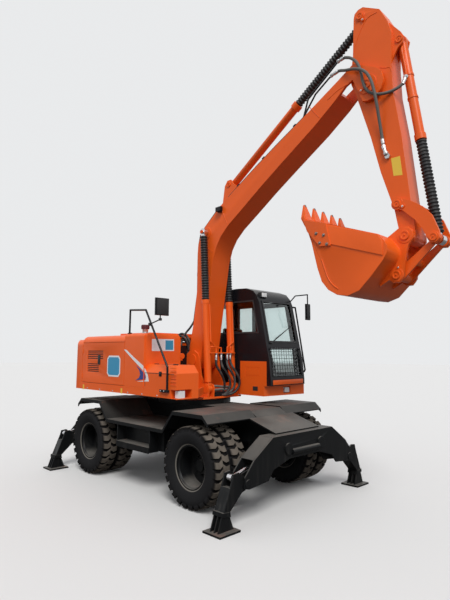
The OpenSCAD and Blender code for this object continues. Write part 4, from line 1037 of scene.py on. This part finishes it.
# Pins and their locks
# Each joint of boom, arm and bucket turns on a steel pin. Its end shows as a stepped disc with a grease
# nipple, and some are held by a flag plate with a screw. The outer ends are painted over.
worn_steel, worn_place = start_material("worn_steel")
scratch = worn_place.noise(40, 6, stretch=(1, 1, 6))
scraped = worn_place.mix((0.20, 0.17, 0.15, 1), (0.42, 0.40, 0.38, 1), scratch.rise(0.45, 0.7))
feed(worn_steel, {"Base Color": scraped, "Metallic": 0.85, "Roughness": 0.32 + scratch * 0.3})


def pin_end(size):
    """A pin's end with its grease nipple on the origin, facing along Z."""
    return [lathe([(0, 0.012), (0.16, 0.012), (0.2, 0.008), (0.62, 0.008), (0.7, 0.014), (0.94, 0.014),
                   (1, 0.009), (1, -0.004)], 36, size),
            lathe([(0, 0.024), (0.005, 0.022), (0.007, 0.014), (0.007, 0.008)], 10)]


# each row: name, body, pin's place, its face, its radius, which way its lock plate points
pin_rows = [("elbow", "boom", (3.40, 5.325), 0.204, 0.062, (-0.8, -0.6)),
            ("lift_eye", "boom_rods", (0.48, 3.96), 0.308, 0.03, None),
            ("crowd_eye", "arm", (3.298, 6.317), 0.14, 0.045, (0.5, -0.87)),
            ("curl_base", "arm", (3.78, 5.79), 0.088, 0.046, None),
            ("curl_eye", "rocker", (4.118, 3.27), 0.184, 0.045, None),
            ("rocker_pin", "rocker", (3.72, 3.729), 0.178, 0.045, (0.82, -0.57)),
            ("bucket_pin", "bucket", (3.804, 3.34), 0.19, 0.055, None),
            ("push_pin", "bucket", (3.689, 2.898), 0.19, 0.05, (0.3, 0.95)),
            ("crowd_base", "boom", (0.885, 4.705), 0.094, 0.04, None)]
for name, body, (x, z), face, size, lock in pin_rows:
    parts = []
    lock_screws = []
    for side in (1, -1):
        out = Vector((0, side, 0))
        foot = (x, side * (face + 0.0003), z)
        for part in pin_end(size):
            part.matrix_world = aimed(foot, out)
            parts.append(part)
        if lock:
            along = Vector((lock[0], 0, lock[1]))
            flag = plate((size * 0.5, -0.02, -0.002), (size + 0.055, 0.02, 0.007), 0.0015)
            turn = Matrix((along, out.cross(along), out)).transposed().to_4x4()
            flag.matrix_world = Matrix.Translation(foot) @ turn
            parts.append(flag)
            lock_screws.append((Vector((x, side * (face + 0.007), z)) + along * (size + 0.034), out))
    settle(parts, name + "_ends", body, orange_paint)
    if lock_screws:
        screws(name + "_lock_screws", lock_screws, 0.012, body)

# Seams and weld beads
# The plates of boom, arm and bucket are joined by fillet welds, painted over with the rest.
def welds(name, body, across, rows, wide=0.009):
    """Weld beads along the same lines on both sides of a body."""
    beads = [bent_bar(at_side(side * across, row), wide) for side in (1, -1) for row in rows]
    settle(beads, name, body, orange_paint)


welds("boom_welds", "boom", 0.1905, [
    [(3.148, 5.44), (2.98, 5.415), (2.826, 5.346)], [(2.694, 5.15), (2.61, 5.26), (2.526, 5.374)],
    [(0.62, 3.62), (0.50, 3.70), (0.40, 3.74)], [(0.95, 4.03), (0.86, 4.20), (0.80, 4.36)]])
welds("arm_welds", "arm", 0.1305, [
    [(3.53, 6.255), (3.40, 6.24), (3.31, 6.14), (3.24, 6.0), (3.19, 5.86)],
    [(3.547, 5.509), (3.61, 5.475), (3.675, 5.451), (3.69, 5.40)]])

# Bucket's wear parts
# Forged tooth points with ground tips, cast side cutters held by four bolts, and a weld line along the curl.
teeth = [-0.422 + 0.211 * number for number in range(5)]
tips = []
for across in teeth:
    tip = lathe([(0.0, 0.05), (0.02, 0.046), (0.031, 0.0), (0.027, -0.004), (0.0, -0.004)], 4)
    flat_tip = Matrix.Diagonal((0.42, 1, 1, 1)) @ Matrix.Rotation(math.radians(45), 4, "Z")
    tip.matrix_world = Matrix.Translation((2.6005, across, 3.862)) @ flat_tip
    tips.append(tip)
settle(tips, "tooth_tips", "bucket", worn_steel, smooth=0)
cutter_bolts = [((x, side * 0.5222, z), (0, side, 0)) for side in (1, -1)
                for x, z in ((2.836, 3.471), (2.943, 3.433), (2.885, 3.345), (2.985, 3.315))]
screws("cutter_bolts", cutter_bolts, 0.021, "bucket", worn_steel)
tooth_bolts = [((2.668, across + shift, 3.69), (0.94, 0, 0.34)) for across in teeth
               for shift in (-0.03, 0.03)]
screws("tooth_bolts", tooth_bolts, 0.013, "bucket", worn_steel)
welds("bucket_welds", "bucket", 0.5005, [
    [(2.896, 3.14), (2.937, 3.022), (2.985, 2.898), (3.047, 2.815), (3.121, 2.757)]], 0.014)
